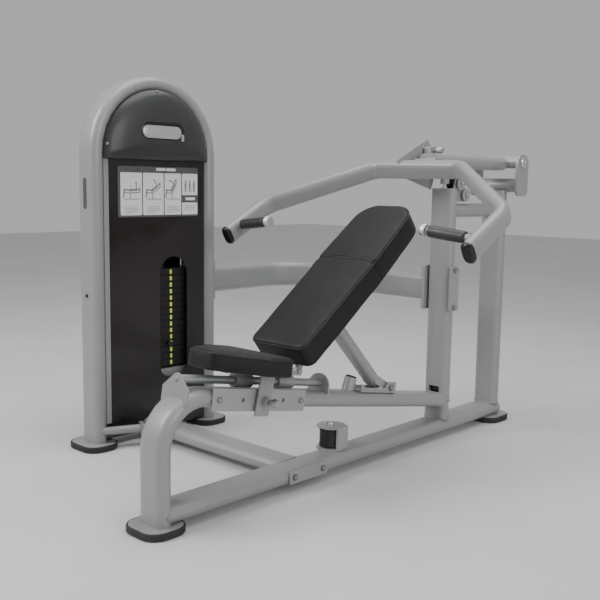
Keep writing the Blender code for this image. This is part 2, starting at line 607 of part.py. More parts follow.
def build_press_arm(paint, plate_paint, rubber_grip, aluminium, cap, press):
    adjust = make_joint("arm_adjust_axis", ADJUST)
    half_centre, half_span, bend_forward, reach = 0.201, 0.546, 0.305, 0.540
    wide, thin = 0.075, 0.045
    corners = [(half_span, -reach, 0), (half_span, -bend_forward, 0), (half_centre, 0, 0)]
    corners += [(-half_centre, 0, 0), (-half_span, -bend_forward, 0), (-half_span, -reach, 0)]
    tube = swept(bent_path(corners, 0.075, 6), stadium(wide, thin), Z_AXIS, on_arm())
    joined = []
    grip_forward, grip_rise, grip_tilt = 0.487, 0.016, 7.0
    for side in (1, -1):
        lug = arc((ADJUST.y, ADJUST.z), 0.030, -70, 110, 8)
        lug += [(ARM_CENTRE.y - 0.006, ARM_CENTRE.z + 0.022), (ARM_CENTRE.y + 0.004, ARM_CENTRE.z - 0.024)]
        x = 0.0560 if side > 0 else -0.0640
        joined.append(plate(lug, 0.008, at(x, 0, 0) @ SIDE_ON))
        turn = Matrix.Rotation(math.radians(side * (grip_tilt - 90)), 4, "Y")
        frame = on_arm(side * (half_span - 0.021), grip_forward, grip_rise) @ turn
        joined.append(cylinder(0.013, 0.160, frame, 16))
    holes = [cylinder(0.0128, 0.16, at(-0.08, ADJUST.y, ADJUST.z) @ SIDE_ON, 20)]
    make_part("press_arm", paint, tube, add=joined, cut=holes, joint=adjust)

    # The index plate turns with the arm; its rim of holes passes the spring pin on the stem
    fan = [(-0.580, 1.056), (-0.600, 1.092), (-0.614, 1.122)]
    fan += arc((ADJUST.y, ADJUST.z), 0.157, 50, -30, 12)
    gap_path = [Vector((x, 0, 0)) for x in (-0.09, -0.05)]
    tube_gap = swept(gap_path, stadium(wide + 2 * GAP, thin + 2 * GAP), Z_AXIS, on_arm())
    pin_angle = math.degrees(math.atan2(INDEX_PIN_Z - ADJUST.z, INDEX_PIN_Y - ADJUST.y))
    pin_radius = math.hypot(INDEX_PIN_Z - ADJUST.z, INDEX_PIN_Y - ADJUST.y)
    fan_holes = []
    for index in range(8):
        angle = math.radians(pin_angle + 9.0 - 9.0 * index)
        centre = (ADJUST.y + pin_radius * math.cos(angle), ADJUST.z + pin_radius * math.sin(angle))
        fan_holes.append(circle(centre, 0.0068, 12))
    fan_holes.append(circle((ADJUST.y, ADJUST.z), 0.0130, 20))
    fan_plate = plate(fan, 0.006, at(-0.0703, 0, 0) @ SIDE_ON, fan_holes)
    make_part("arm_index_plate", plate_paint, fan_plate, cut=[tube_gap], joint=adjust)

    quarter_turn = Matrix.Rotation(math.radians(90), 4, "Z")
    for name, side in (("left", 1), ("right", -1)):
        turn = Matrix.Rotation(math.radians(side * (grip_tilt - 90)), 4, "Y")
        frame = on_arm(side * (half_span - 0.021), grip_forward, grip_rise) @ turn
        make_part("grip_" + name, rubber_grip, pipe(0.020, 0.0133, 0.132, frame @ at(0, 0, 0.0175)),
                  joint=adjust, bevel=0.002)
        knob = [(0, 0), (0.021, 0), (0.022, 0.003), (0.022, 0.014), (0.018, 0.020), (0, 0.021)]
        make_part("grip_end_" + name, aluminium, turned(knob, frame @ at(0, 0, 0.1603)), joint=adjust)
        full, crown = stadium(wide, thin), stadium(wide - 0.012, thin - 0.012)
        end_frame = on_arm(side * half_span, reach + GAP) @ tilt(90) @ quarter_turn
        end = prism([(0, full), (0.008, full), (0.014, crown)], frame=end_frame)
        make_part("arm_end_cap_" + name, cap, end, joint=adjust)
    adjust.parent = press
    adjust.matrix_parent_inverse = press.matrix_world.inverted()


# Bench

def build_seat(paint, upholstery, steel):
    seat = make_joint("seat_slide_axis", on_rail(-0.389).translation)
    top = 0.086
    mount = plate(rectangle(0.110, 0.299, 0.008, centre=(0, -0.4055)), 0.005, on_rail(0, top - 0.005))
    joined = []
    for start, web_length in ((-0.477, 0.066), (-0.284, 0.026)):
        frame = on_rail(start, ROD_HEIGHT) @ Matrix.Rotation(math.radians(-90), 4, "X")
        joined.append(pipe(0.0225, ROD_RADIUS + 0.0006, 0.073, frame))
        web = rectangle(0.026, web_length, centre=(0, start + 0.001 + web_length / 2))
        joined.append(plate(web, 0.013, on_rail(0, 0.070)))
    bracket = [(-0.432, -0.049), (-0.372, -0.049), (-0.365, top - 0.0005), (-0.425, top - 0.0005)]
    joined.append(plate(bracket, 0.006, on_rail(x=0.0685) @ SIDE_ON))
    shelf = rectangle(0.075, 0.060, centre=(0.037, SEAT_PIN_ALONG + 0.004))
    joined.append(plate(shelf, 0.0045, on_rail(0, top - 0.0048)))
    joined.append(pipe(0.015, 0.0068, 0.020, on_rail(SEAT_PIN_ALONG, 0, 0.0740) @ SIDE_ON, 16))
    for x in (0.046, -0.052):
        lug = [(-0.300, top - 0.004), (-0.217, top - 0.004)] + arc(BACK_HINGE, 0.017, 0, 180, 8)
        joined.append(plate(lug, 0.006, on_rail(x=x) @ SIDE_ON))
    bores = [cylinder(0.0086, 0.13, on_rail(*BACK_HINGE, -0.065) @ SIDE_ON, 16),
             cylinder(0.0068, 0.03, on_rail(SEAT_PIN_ALONG, 0, 0.060) @ SIDE_ON, 16)]
    make_part("seat_carriage", paint, mount, add=joined, cut=bores, joint=seat)

    front, flare, rear = -0.630, -0.475, -0.362
    side = [(0.055, front), (0.165, flare), (0.165, rear)]
    corners = side + [(-x, y) for x, y in reversed(side)]
    outline = rounded(corners, 0.030, 4)
    inner = rounded([(x * 0.97, y * 0.985 - 0.007) for x, y in corners], 0.026, 4)
    levels = [(0.0, outline), (0.056, outline), (0.067, inner)]
    make_part("seat_pad", upholstery, prism(levels, frame=on_rail(0, top + GAP)), joint=seat)

    pin_frame = on_rail(SEAT_PIN_ALONG, 0, 0.062)
    pin = make_joint("seat_pin_axis", pin_frame.translation)
    profile = [(0, 0), (0.006, 0), (0.006, 0.0325), (0.008, 0.036), (0.008, 0.044), (0.012, 0.048)]
    profile += [(0.0150, 0.056), (0.0145, 0.064), (0.010, 0.071), (0, 0.073)]
    make_part("seat_pin", steel, turned(profile, pin_frame @ SIDE_ON, 16), joint=pin)
    pin.parent = seat
    pin.matrix_parent_inverse = seat.matrix_world.inverted()
    return seat


def build_back(paint, upholstery, seat):
    back = make_joint("back_hinge_axis", on_rail(*BACK_HINGE).translation)
    length = 0.760
    support_frame = on_back(0, -BACK_THICK - 0.0063)
    support = plate(rectangle(0.120, 0.560, 0.010, centre=(0, 0.290)), 0.006, support_frame)
    behind = -BACK_THICK - 0.004
    joined = []
    for x in (0.038, -0.044):
        lug = arc((0, -BACK_STANDOFF), 0.016, 140, 270, 6)
        lug += [(0.130, behind), (0.012, behind)]
        joined.append(plate(lug, 0.006, on_back() @ at(x, 0, 0) @ SIDE_ON))
    joined.append(cylinder(0.008, 0.112, on_rail(*BACK_HINGE, -0.056) @ SIDE_ON, 16))
    anchor = [(0.180, behind), (0.310, behind)] + arc(STRUT_ANCHOR, 0.014, 0, -180, 8)
    joined.append(plate(anchor, 0.012, on_back() @ at(-0.006, 0, 0) @ SIDE_ON))
    make_part("back_frame", paint, support, add=joined, joint=back)

    side = [(0.124, 0.0), (0.136, 0.420), (0.116, length)]
    corners = side + [(-x, y) for x, y in reversed(side)]
    radii = (0.030, 0.200, 0.085, 0.085, 0.200, 0.030)
    outline = rounded(corners, radii, 5)
    inner = rounded([(x * 0.95, 0.012 + y * 0.97) for x, y in corners], radii, 5)
    levels = [(-BACK_THICK, outline), (-0.012, outline), (0.0, inner)]
    make_part("back_pad", upholstery, prism(levels, frame=on_back()), joint=back)
    back.parent = seat
    back.matrix_parent_inverse = seat.matrix_world.inverted()

    high = on_rail().inverted() @ on_back(*STRUT_ANCHOR).translation
    top, foot = Vector(high.yz), Vector(STRUT_FOOT)
    down = (foot - top).normalized()
    strut = make_joint("strut_axis", on_rail(*STRUT_PIN).translation)
    body_ends = [top + down * 0.044, foot]
    body_path = [Vector((0, along, height)) for along, height in body_ends]
    body = swept(body_path, stadium(0.064, 0.044), X_AXIS, on_rail())
    low_arm = link(foot - down * 0.010, STRUT_PIN, 0.016, 0.013)
    joined = [plate(low_arm, 0.006, on_rail(x=x) @ SIDE_ON) for x in (0.0245, -0.0305)]
    high_arm = link(top + down * 0.058, top, 0.012, 0.013)
    joined += [plate(high_arm, 0.008, on_rail(x=x) @ SIDE_ON) for x in (0.0085, -0.0165)]
    bore = [cylinder(0.0074, 0.08, on_rail(*STRUT_PIN, -0.04) @ SIDE_ON, 16)]
    make_part("back_strut", paint, body, add=joined, cut=bore, joint=strut)


# Weight tower

def build_tower(paint, panel_paint, cowl_gloss, placard, rubber):
    bottom = SOLE_HEIGHT + FOOT_PLATE - 0.001
    radius = (TOWER_REAR_Y - TOWER_FRONT_Y) / 2
    middle = (TOWER_REAR_Y + TOWER_FRONT_Y) / 2
    path = [Vector((TOWER_X, TOWER_FRONT_Y, bottom))]
    for y, z in arc((middle, TOWER_ARCH_Z), radius, 180, 0, 16):
        path.append(Vector((TOWER_X, y, z)))
    path.append(Vector((TOWER_X, TOWER_REAR_Y, bottom)))
    loop = oval_tube(path)
    rail_x = TOWER_X - 0.026
    rail_ends = [Vector((rail_x, y, BASE_Z)) for y in (TOWER_FRONT_Y + 0.01, TOWER_REAR_Y - 0.01)]
    base_rail = swept(rail_ends, stadium(0.100, TUBE_THIN), X_AXIS)
    feet_y = (TOWER_FRONT_Y - 0.006, TOWER_REAR_Y + 0.006)
    joined = [foot_plate(TOWER_X, y, 0.180, 0.145) for y in feet_y]
    joined += [base_rail, brace_piece(0.0, BRACE_SPLIT - 0.001), brace_flange(-0.006 - GAP)]
    slot_frame = at(TOWER_X, TOWER_FRONT_Y - TUBE_THIN / 2 + 0.004, 0.977) @ FACE_ON
    slot = plate(rectangle(0.024, 0.118, 0.011), 0.02, slot_frame)
    make_part("tower_frame", paint, loop, add=joined, cut=[slot])
    make_foot("foot_tower_front", rubber, TOWER_X, feet_y[0], 0.180, 0.145)
    make_foot("foot_tower_rear", rubber, TOWER_X, feet_y[1], 0.180, 0.145)

    low_y, high_y = TOWER_FRONT_Y + TUBE_THIN / 2 + GAP, TOWER_REAR_Y - TUBE_THIN / 2 - GAP
    shroud_low, shroud_top = 0.030, 1.110
    panel = [(low_y, shroud_low), (high_y, shroud_low), (high_y, shroud_top), (low_y, shroud_top)]
    half, low_z, high_z = 0.069, 0.234, 0.726
    window_y = STACK_Y + 0.014
    window = arc((window_y, high_z - half), half, 0, 180, 12) + rounded_foot(window_y, half, low_z)
    face_x = TOWER_X + PANEL_X
    make_part("front_shroud", panel_paint, plate(panel, 0.003, at(face_x, 0, 0) @ SIDE_ON, [window]))

    # The cowl laps over the rounded inner side of the tower's tube
    cowl_radius = radius - 0.0225
    cowl_outline = arc((middle, TOWER_ARCH_Z), cowl_radius, 0, 180, 24)
    cowl_low = shroud_top - 0.003
    cowl_outline += [(middle - cowl_radius, cowl_low), (middle + cowl_radius, cowl_low)]
    frame = at(TOWER_X + COWL_X, 0, 0) @ SIDE_ON
    make_part("top_cowl", cowl_gloss, dome_shell(cowl_outline, (middle, 1.205), 0.040, 0.003, frame))
    placard_frame = at(face_x + 0.003 + GAP, middle + 0.016, 0.985) @ SIDE_ON
    make_part("guide_placard", placard, plate(rectangle(0.394, 0.196, 0.008), 0.002, placard_frame))

    tray_x = TOWER_X - TUBE_WIDE / 2 - 0.056
    tray = plate(tray_outline(0.0), 0.052, at(tray_x, 0, 0) @ SIDE_ON)
    cavity = plate(tray_outline(0.003), 0.052, at(tray_x + 0.003, 0, 0) @ SIDE_ON)
    make_part("back_shroud", panel_paint, tray, cut=[cavity])


def tray_outline(wall):
    """The rear shroud's outline, drawn in by the wall thickness."""
    low, radius = BASE_Z + TUBE_THIN / 2 + GAP + wall, 0.2235 - wall
    middle = (TOWER_REAR_Y + TOWER_FRONT_Y) / 2
    return [(middle - radius, low), (middle + radius, low)] + arc((middle, TOWER_ARCH_Z), radius, 0, 180, 20)


def rounded_foot(y, half, low):
    """The lower end of the weight window: two round corners."""
    radius = 0.046
    left = arc((y - half + radius, low + radius), radius, 180, 270, 4)
    return left + arc((y + half - radius, low + radius), radius, 270, 360, 4)


def build_stack(plate_paint, weight, steel, rubber, black, nylon):
    stack_x = TOWER_X - 0.037
    base_top = BASE_Z + TUBE_THIN / 2 + GAP
    width, depth = 0.290, 0.096
    rod_offset = 0.110
    rods = [(0, -rod_offset), (0, rod_offset)]
    rod_radius = 0.0125

    plinth_top = STACK_BOTTOM - 0.012
    plinth_low = base_top + 0.004
    frame = at(stack_x, STACK_Y, plinth_low)
    plinth = plate(rectangle(0.086, 0.280, 0.008), plinth_top - plinth_low, frame)
    make_part("stack_plinth", plate_paint, plinth)

    def group(count, low, extra_holes):
        full = rectangle(depth, width, 0.010)
        groove = rectangle(depth - 0.005, width - 0.005, 0.009)
        levels = []
        for index in range(count):
            z = index * PLATE_PITCH
            levels += [(z, full), (z + PLATE_PITCH - 0.0022, full)]
            if index < count - 1:
                levels += [(z + PLATE_PITCH - 0.0018, groove), (z + PLATE_PITCH - 0.0004, groove)]
        holes = [circle(rod, rod_radius + 0.0008, 16) for rod in rods] + extra_holes
        return prism(levels, holes, at(stack_x, STACK_Y, low))

    stem_hole = [circle((0, 0), 0.0115, 16)]
    resting_count = PLATE_COUNT - LIFTED_COUNT
    split = STACK_BOTTOM + resting_count * PLATE_PITCH
    make_part("resting_plates", weight, group(resting_count, STACK_BOTTOM + GAP, stem_hole))
    lift = make_joint("stack_lift_axis", (stack_x, STACK_Y, split))
    pin_z = split + PLATE_PITCH * 0.5
    bore = cylinder(0.0046, depth / 2 + 0.02, at(stack_x, STACK_Y, pin_z) @ SIDE_ON, 12)
    lifted = group(LIFTED_COUNT - 1, split + GAP, stem_hole)
    make_part("lifted_plates", weight, lifted, cut=[bore], joint=lift)
    head_low = split + (LIFTED_COUNT - 1) * PLATE_PITCH
    head = plate(rectangle(depth, width, 0.010), PLATE_PITCH, at(stack_x, STACK_Y, head_low + GAP),
                 [circle(rod, rod_radius + 0.0008, 16) for rod in rods])
    socket = cylinder(0.0205, 0.030, at(stack_x, STACK_Y, head_low + PLATE_PITCH - 0.004), 20)
    make_part("top_plate", weight, head, add=[socket], joint=lift)
    stem_low = STACK_BOTTOM + 0.012
    stem = cylinder(0.0100, head_low - stem_low, at(stack_x, STACK_Y, stem_low), 16)
    stem_bore = cylinder(0.0048, 0.04, at(stack_x - 0.02, STACK_Y, pin_z) @ SIDE_ON, 12)
    make_part("selector_stem", steel, stem, cut=[stem_bore], joint=lift)

    pin = make_joint("selector_pin_axis", (stack_x, STACK_Y, pin_z))
    reach = depth / 2 + 0.008
    profile = [(0, 0), (0.0040, 0), (0.0040, reach + 0.004), (0.008, reach + 0.004), (0.008, reach + 0.009)]
    profile += [(0.0105, reach + 0.011), (0.0105, reach + 0.019), (0.007, reach + 0.022), (0, reach + 0.022)]
    pin_frame = at(stack_x - 0.008, STACK_Y, pin_z) @ SIDE_ON
    make_part("selector_pin", black, turned(profile, pin_frame, 16), joint=pin)
    pin.parent = lift
    pin.matrix_parent_inverse = lift.matrix_world.inverted()

    rod_top = 1.118
    for name, side in (("front", -1), ("rear", 1)):
        y = STACK_Y + side * rod_offset
        rod = cylinder(rod_radius, rod_top - plinth_top - GAP, at(stack_x, y, plinth_top + GAP), 20)
        make_part("stack_rod_" + name, steel, rod)
    mat_holes = [circle(rod, rod_radius + 0.0006, 16) for rod in rods]
    mat = plate(rectangle(0.060, 0.270, 0.008), 0.0112, at(stack_x, STACK_Y, plinth_top + GAP), mat_holes)
    make_part("stack_cushion", rubber, mat)

    low_y, high_y = TOWER_FRONT_Y + TUBE_THIN / 2 + GAP, TOWER_REAR_Y - TUBE_THIN / 2 - GAP
    middle = (low_y + high_y) / 2
    beam = plate(rectangle(0.060, high_y - low_y, 0.0), 0.006, at(TOWER_X - 0.022, middle, rod_top + GAP))
    wheel_y, wheel_z = STACK_Y + 0.042, rod_top + 0.075
    cheeks = []
    for x in (-0.0215, 0.0175):
        cheek = rectangle(0.050, 0.090, 0.006, centre=(wheel_y, rod_top + 0.050))
        cheeks.append(plate(cheek, 0.004, at(stack_x + x, 0, 0) @ SIDE_ON))
    cheeks.append(cylinder(0.006, 0.052, at(stack_x - 0.026, wheel_y, wheel_z) @ SIDE_ON, 16))
    cable_slot = plate(rectangle(0.020, 0.020, 0.0), 0.030, at(stack_x, STACK_Y, rod_top - 0.01))
    make_part("tower_head_beam", plate_paint, beam, add=cheeks, cut=[cable_slot])
    joint = make_joint("head_pulley_axis", (stack_x, wheel_y, wheel_z))
    wheel = pulley_wheel(0.045, 0.026, 0.0065, at(stack_x, wheel_y, wheel_z) @ SIDE_ON)
    make_part("head_pulley", nylon, wheel, joint=joint)
    cable_low = head_low + PLATE_PITCH + 0.026 + GAP
    cable = cylinder(0.003, 0.120, at(stack_x, STACK_Y, cable_low), 10)
    make_part("lift_cable", black, cable, joint=lift)


def build_machine():
    paint = make_material("silver_paint", (0.45, 0.46, 0.46), 0.55, 0.38)
    plate_paint = make_material("bracket_paint", (0.48, 0.49, 0.49), 0.50, 0.36)
    panel_paint = make_material("shroud_plastic", (0.055, 0.050, 0.050), 0.0, 0.45)
    cowl_gloss = make_material("cowl_gloss", (0.035, 0.037, 0.040), 0.0, 0.15)
    placard = make_material("placard_print", (0.10, 0.10, 0.10), 0.0, 0.35)
    upholstery = make_material("upholstery", (0.030, 0.030, 0.033), 0.0, 0.55)
    rubber = make_material("foot_rubber", (0.040, 0.040, 0.042), 0.0, 0.75)
    rubber_grip = make_material("grip_rubber", (0.045, 0.045, 0.048), 0.0, 0.65)
    cap = make_material("black_plastic", (0.018, 0.018, 0.018), 0.0, 0.40)
    aluminium = make_material("end_aluminium", (0.75, 0.76, 0.77), 1.0, 0.25)
    steel = make_material("bright_steel", (0.68, 0.69, 0.70), 1.0, 0.18)
    nylon = make_material("pulley_nylon", (0.022, 0.022, 0.024), 0.0, 0.42)
    weight = make_material("weight_iron", (0.060, 0.060, 0.062), 0.3, 0.55)

    build_base(paint, plate_paint, rubber, steel)
    build_bench_frame(paint, plate_paint, steel, rubber)
    build_connecting_arm(paint, plate_paint)
    build_pulleys(plate_paint, nylon)
    build_pivot(paint, steel)
    press = build_stem(paint, steel)
    build_press_arm(paint, plate_paint, rubber_grip, aluminium, cap, press)
    seat = build_seat(paint, upholstery, steel)
    build_back(paint, upholstery, seat)
    build_tower(paint, panel_paint, cowl_gloss, placard, rubber)
    build_stack(plate_paint, weight, steel, rubber, cap, nylon)


clear_scene()
build_machine()
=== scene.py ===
"""Looks for the chest press machine: finishes, upholstery, fasteners, placard and studio.

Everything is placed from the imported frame. Lengths are metres, angles are degrees.
"""
import json
import math

import bmesh
import bpy
from mathutils import Matrix, Vector
from mathutils.bvhtree import BVHTree


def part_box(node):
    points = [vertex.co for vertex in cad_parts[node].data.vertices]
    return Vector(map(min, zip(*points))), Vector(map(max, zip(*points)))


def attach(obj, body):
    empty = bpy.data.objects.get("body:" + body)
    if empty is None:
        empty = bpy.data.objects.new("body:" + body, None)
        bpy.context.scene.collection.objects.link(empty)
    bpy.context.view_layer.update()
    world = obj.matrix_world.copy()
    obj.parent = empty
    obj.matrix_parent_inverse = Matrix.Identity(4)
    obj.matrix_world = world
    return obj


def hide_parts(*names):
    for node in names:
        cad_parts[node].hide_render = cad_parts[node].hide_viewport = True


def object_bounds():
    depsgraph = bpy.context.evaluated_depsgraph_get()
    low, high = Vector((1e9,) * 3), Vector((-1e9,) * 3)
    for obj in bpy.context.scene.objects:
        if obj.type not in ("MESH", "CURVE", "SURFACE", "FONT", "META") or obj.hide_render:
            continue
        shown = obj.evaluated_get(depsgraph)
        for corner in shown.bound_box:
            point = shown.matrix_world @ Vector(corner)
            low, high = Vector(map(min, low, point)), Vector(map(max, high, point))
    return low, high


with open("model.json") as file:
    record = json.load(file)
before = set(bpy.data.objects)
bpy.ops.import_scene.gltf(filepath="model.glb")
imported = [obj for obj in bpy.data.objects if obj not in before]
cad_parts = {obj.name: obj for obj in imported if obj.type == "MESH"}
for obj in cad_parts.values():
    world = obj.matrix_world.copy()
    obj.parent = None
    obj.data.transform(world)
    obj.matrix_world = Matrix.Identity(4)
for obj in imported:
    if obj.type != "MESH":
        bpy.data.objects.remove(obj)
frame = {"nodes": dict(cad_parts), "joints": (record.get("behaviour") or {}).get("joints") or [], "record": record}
CAD_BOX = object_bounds()

RAIL_SLOPE = -10.0          # the bench's frame, turned about X
BACK_ANGLE = 37.0
ARM_TILT = 29.0
GRIP_TILT = 7.0
TUBE_WIDE = 0.110
TUBE_THIN = 0.055
PLATE_PITCH = 0.0268
SEAM_SHARE = 0.58           # how far up the back pad the head section starts
BUMPER_LEAN = -13.0         # from square to the rail, toward the head end
SMOOTH_ANGLE = 42.0         # facets that meet at less than this shade as one curve
SATIN_NODES = ("bench_guide_rod", "arm_index_pin", "seat_pin")
CUSHION_VOXEL = 0.0055
CUSHION_STEP = 0.012        # between the points of a cushion's outline
SWELL_FRAMES = 20           # of the cushions' simulation
WELD_STEP = 0.005           # between the points of a weld
WELD_RADIUS = 0.0030


# Shader nodes

def put(tree, kind, **inputs):
    """Adds a shader node and sets inputs by name."""
    node = tree.nodes.new("ShaderNode" + kind)
    for name, value in inputs.items():
        node.inputs[name.replace("_", " ")].default_value = value
    return node


def place(tree, stretch=(1.0, 1.0, 1.0)):
    """Texture coordinates in the object's own metres."""
    mapping = put(tree, "Mapping", Scale=stretch)
    tree.links.new(put(tree, "TexCoord").outputs["Object"], mapping.inputs["Vector"])
    return mapping.outputs["Vector"]


def noise(tree, vector, scale, detail=3.0):
    """Soft clouds; scale is about the number of them in a metre."""
    node = put(tree, "TexNoise", Scale=scale, Detail=detail)
    tree.links.new(vector, node.inputs["Vector"])
    return node.outputs["Fac"]


def cells(tree, vector, scale):
    """Rounded pebbles, for moulded grain and leather."""
    node = put(tree, "TexVoronoi", Scale=scale)
    node.feature = "SMOOTH_F1"
    tree.links.new(vector, node.inputs["Vector"])
    return node.outputs["Distance"]


def ramp(tree, value, low, high):
    """Turns a noise value into a blend of two colours."""
    node = put(tree, "ValToRGB")
    node.color_ramp.elements[0].position = 0.35
    node.color_ramp.elements[0].color = (*low, 1.0)
    node.color_ramp.elements[1].position = 0.65
    node.color_ramp.elements[1].color = (*high, 1.0)
    tree.links.new(value, node.inputs["Fac"])
    return node.outputs["Color"]


def spread(tree, value, low, high):
    """Maps a noise value to a range."""
    node = put(tree, "MapRange")
    node.inputs["From Min"].default_value = 0.3
    node.inputs["From Max"].default_value = 0.7
    node.inputs["To Min"].default_value = low
    node.inputs["To Max"].default_value = high
    tree.links.new(value, node.inputs["Value"])
    return node.outputs["Result"]


def blend_colour(tree, factor, first, second):
    """Fades a colour socket into a plain second colour."""
    node = put(tree, "Mix")
    node.data_type = "RGBA"
    tree.links.new(factor, node.inputs[0])
    tree.links.new(first, node.inputs[6])
    node.inputs[7].default_value = (*second, 1.0)
    return node.outputs[2]


def raise_surface(tree, height, depth, normal=None):
    """Fine relief, on top of another normal if one is given."""
    node = put(tree, "Bump", Strength=1.0, Distance=depth)
    tree.links.new(height, node.inputs["Height"])
    if normal:
        tree.links.new(normal, node.inputs["Normal"])
    return node.outputs["Normal"]


def edge_mask(tree, radius):
    """White along the edges: where the rounded normal leaves the true one."""
    bevel = put(tree, "Bevel", Radius=radius)
    bevel.samples = 4
    dot = put(tree, "VectorMath")
    dot.operation = "DOT_PRODUCT"
    tree.links.new(bevel.outputs["Normal"], dot.inputs[0])
    tree.links.new(put(tree, "NewGeometry").outputs["Normal"], dot.inputs[1])
    mask = put(tree, "MapRange")
    mask.inputs["From Min"].default_value = 0.985
    mask.inputs["From Max"].default_value = 0.80
    tree.links.new(dot.outputs["Value"], mask.inputs["Value"])
    return mask.outputs["Result"]


def finish(name, dark, light, rough, metallic=0.0, patches=7.0, grain=(900.0, 0.00005), pebbled=False,
           worn=None, coat=0.0, stretch=(1.0, 1.0, 1.0)):
    """A surface whose tone, gloss and relief vary, with softened edges.

    Rough is a range, grain is the relief's scale and depth, and worn is the colour of rubbed edges.
    """
    made = bpy.data.materials.new(name)
    made.use_nodes = True
    tree = made.node_tree
    shader = tree.nodes["Principled BSDF"]
    vector = place(tree, stretch)
    colour = ramp(tree, noise(tree, vector, patches), dark, light)
    if worn:
        scuffs = put(tree, "Math")
        scuffs.operation = "MULTIPLY"
        tree.links.new(edge_mask(tree, 0.003), scuffs.inputs[0])
        tree.links.new(spread(tree, noise(tree, vector, 60.0), 0.0, 0.7), scuffs.inputs[1])
        colour = blend_colour(tree, scuffs.outputs["Value"], colour, worn)
    tree.links.new(colour, shader.inputs["Base Color"])
    gloss = spread(tree, noise(tree, vector, patches * 5), rough[0], rough[1])
    tree.links.new(gloss, shader.inputs["Roughness"])
    shader.inputs["Metallic"].default_value = metallic
    shader.inputs["Coat Weight"].default_value = coat
    shader.inputs["Coat Roughness"].default_value = 0.12
    relief = cells(tree, vector, grain[0]) if pebbled else noise(tree, vector, grain[0], 2.0)
    bevel = put(tree, "Bevel", Radius=0.0010)
    bevel.samples = 4
    normal = raise_surface(tree, relief, grain[1], bevel.outputs["Normal"])
    tree.links.new(normal, shader.inputs["Normal"])
    return made


def leatherette(name, dark, light, rough):
    """Upholstery vinyl: pebble grain, soft creases and a faint sheen."""
    made = bpy.data.materials.new(name)
    made.use_nodes = True
    tree = made.node_tree
    shader = tree.nodes["Principled BSDF"]
    vector = place(tree)
    tree.links.new(ramp(tree, noise(tree, vector, 11.0), dark, light), shader.inputs["Base Color"])
    tree.links.new(spread(tree, noise(tree, vector, 38.0), rough[0], rough[1]), shader.inputs["Roughness"])
    shader.inputs["Specular IOR Level"].default_value = 0.34
    shader.inputs["Sheen Weight"].default_value = 0.04
    shader.inputs["Sheen Roughness"].default_value = 0.4
    creases = raise_surface(tree, noise(tree, place(tree, (1.0, 0.45, 1.0)), 16.0, 4.0), 0.0012)
    pebbles = raise_surface(tree, cells(tree, vector, 620.0), 0.00018, creases)
    tree.links.new(pebbles, shader.inputs["Normal"])
    return made


FINISHES = {
    "silver_paint": finish("silver_powder_coat", (0.300, 0.303, 0.304), (0.318, 0.321, 0.322), (0.36, 0.41),
                           metallic=0.15, patches=3.0, grain=(1400.0, 0.00004),
                           worn=(0.40, 0.40, 0.40), coat=0.10),
    "bracket_paint": finish("bracket_powder_coat", (0.322, 0.325, 0.326), (0.345, 0.348, 0.349), (0.34, 0.39),
                            metallic=0.15, patches=4.0, grain=(1400.0, 0.00004),
                            worn=(0.43, 0.43, 0.43), coat=0.10),
    "shroud_plastic": finish("shroud_sheet", (0.0150, 0.0115, 0.0107), (0.0172, 0.0134, 0.0124), (0.24, 0.28),
                             patches=2.0, grain=(900.0, 0.00001), coat=0.12),
    "cowl_gloss": finish("cowl_moulding", (0.030, 0.031, 0.032), (0.034, 0.035, 0.036), (0.36, 0.41),
                         patches=3.0, grain=(700.0, 0.00002), worn=(0.06, 0.06, 0.06), coat=0.10),
    "placard_print": finish("placard_laminate", (0.100, 0.094, 0.094), (0.112, 0.105, 0.105), (0.25, 0.34),
                            grain=(500.0, 0.00002), coat=0.3),
    "upholstery": leatherette("charcoal_leatherette", (0.0052, 0.0052, 0.0054), (0.0078, 0.0078, 0.0081),
                              (0.50, 0.58)),
    "foot_rubber": finish("moulded_rubber", (0.014, 0.014, 0.015), (0.026, 0.026, 0.027), (0.62, 0.82),
                          grain=(480.0, 0.00014), pebbled=True, worn=(0.06, 0.06, 0.06)),
    "grip_rubber": finish("grip_rubber", (0.022, 0.022, 0.024), (0.034, 0.034, 0.036), (0.34, 0.46),
                          grain=(1100.0, 0.00010), pebbled=True),
    "black_plastic": finish("black_plastic", (0.005, 0.005, 0.005), (0.009, 0.009, 0.009), (0.22, 0.32),
                            grain=(800.0, 0.00003), pebbled=True, worn=(0.03, 0.03, 0.03)),
    "end_aluminium": finish("turned_aluminium", (0.60, 0.61, 0.62), (0.68, 0.69, 0.70), (0.42, 0.50),
                            metallic=1.0, patches=40.0, grain=(900.0, 0.00004), stretch=(0.15, 1.0, 1.0)),
    "bright_steel": finish("plated_steel", (0.56, 0.57, 0.58), (0.70, 0.71, 0.72), (0.12, 0.24),
                           metallic=1.0, patches=30.0, grain=(1600.0, 0.00002)),
    "pulley_nylon": finish("pulley_nylon", (0.008, 0.008, 0.009), (0.013, 0.013, 0.014), (0.30, 0.40),
                           grain=(600.0, 0.00005)),
    "weight_iron": finish("painted_iron", (0.0030, 0.0030, 0.0032), (0.0048, 0.0048, 0.0050), (0.55, 0.66),
                          grain=(300.0, 0.00018), pebbled=True, worn=(0.012, 0.012, 0.012)),
}
# The piping is real; its vinyl is lighter than the cushions' as a painted highlight along the welts.
PIPING_PAINTED_HIGHLIGHT = leatherette("piping_vinyl_painted_highlight", (0.013, 0.013, 0.014), (0.020, 0.020, 0.021), (0.38, 0.46))
THREAD = finish("stitch_thread", (0.024, 0.024, 0.025), (0.040, 0.040, 0.042), (0.55, 0.70),
                grain=(2500.0, 0.0002))
TAG_YELLOW = finish("yellow_tag", (0.86, 0.86, 0.10), (0.93, 0.93, 0.16), (0.30, 0.40),
                    grain=(500.0, 0.00004))
BLACK_OXIDE = finish("black_oxide_screw", (0.030, 0.030, 0.031), (0.060, 0.060, 0.062), (0.28, 0.42),
                     metallic=0.9, grain=(900.0, 0.00004), worn=(0.35, 0.35, 0.36))
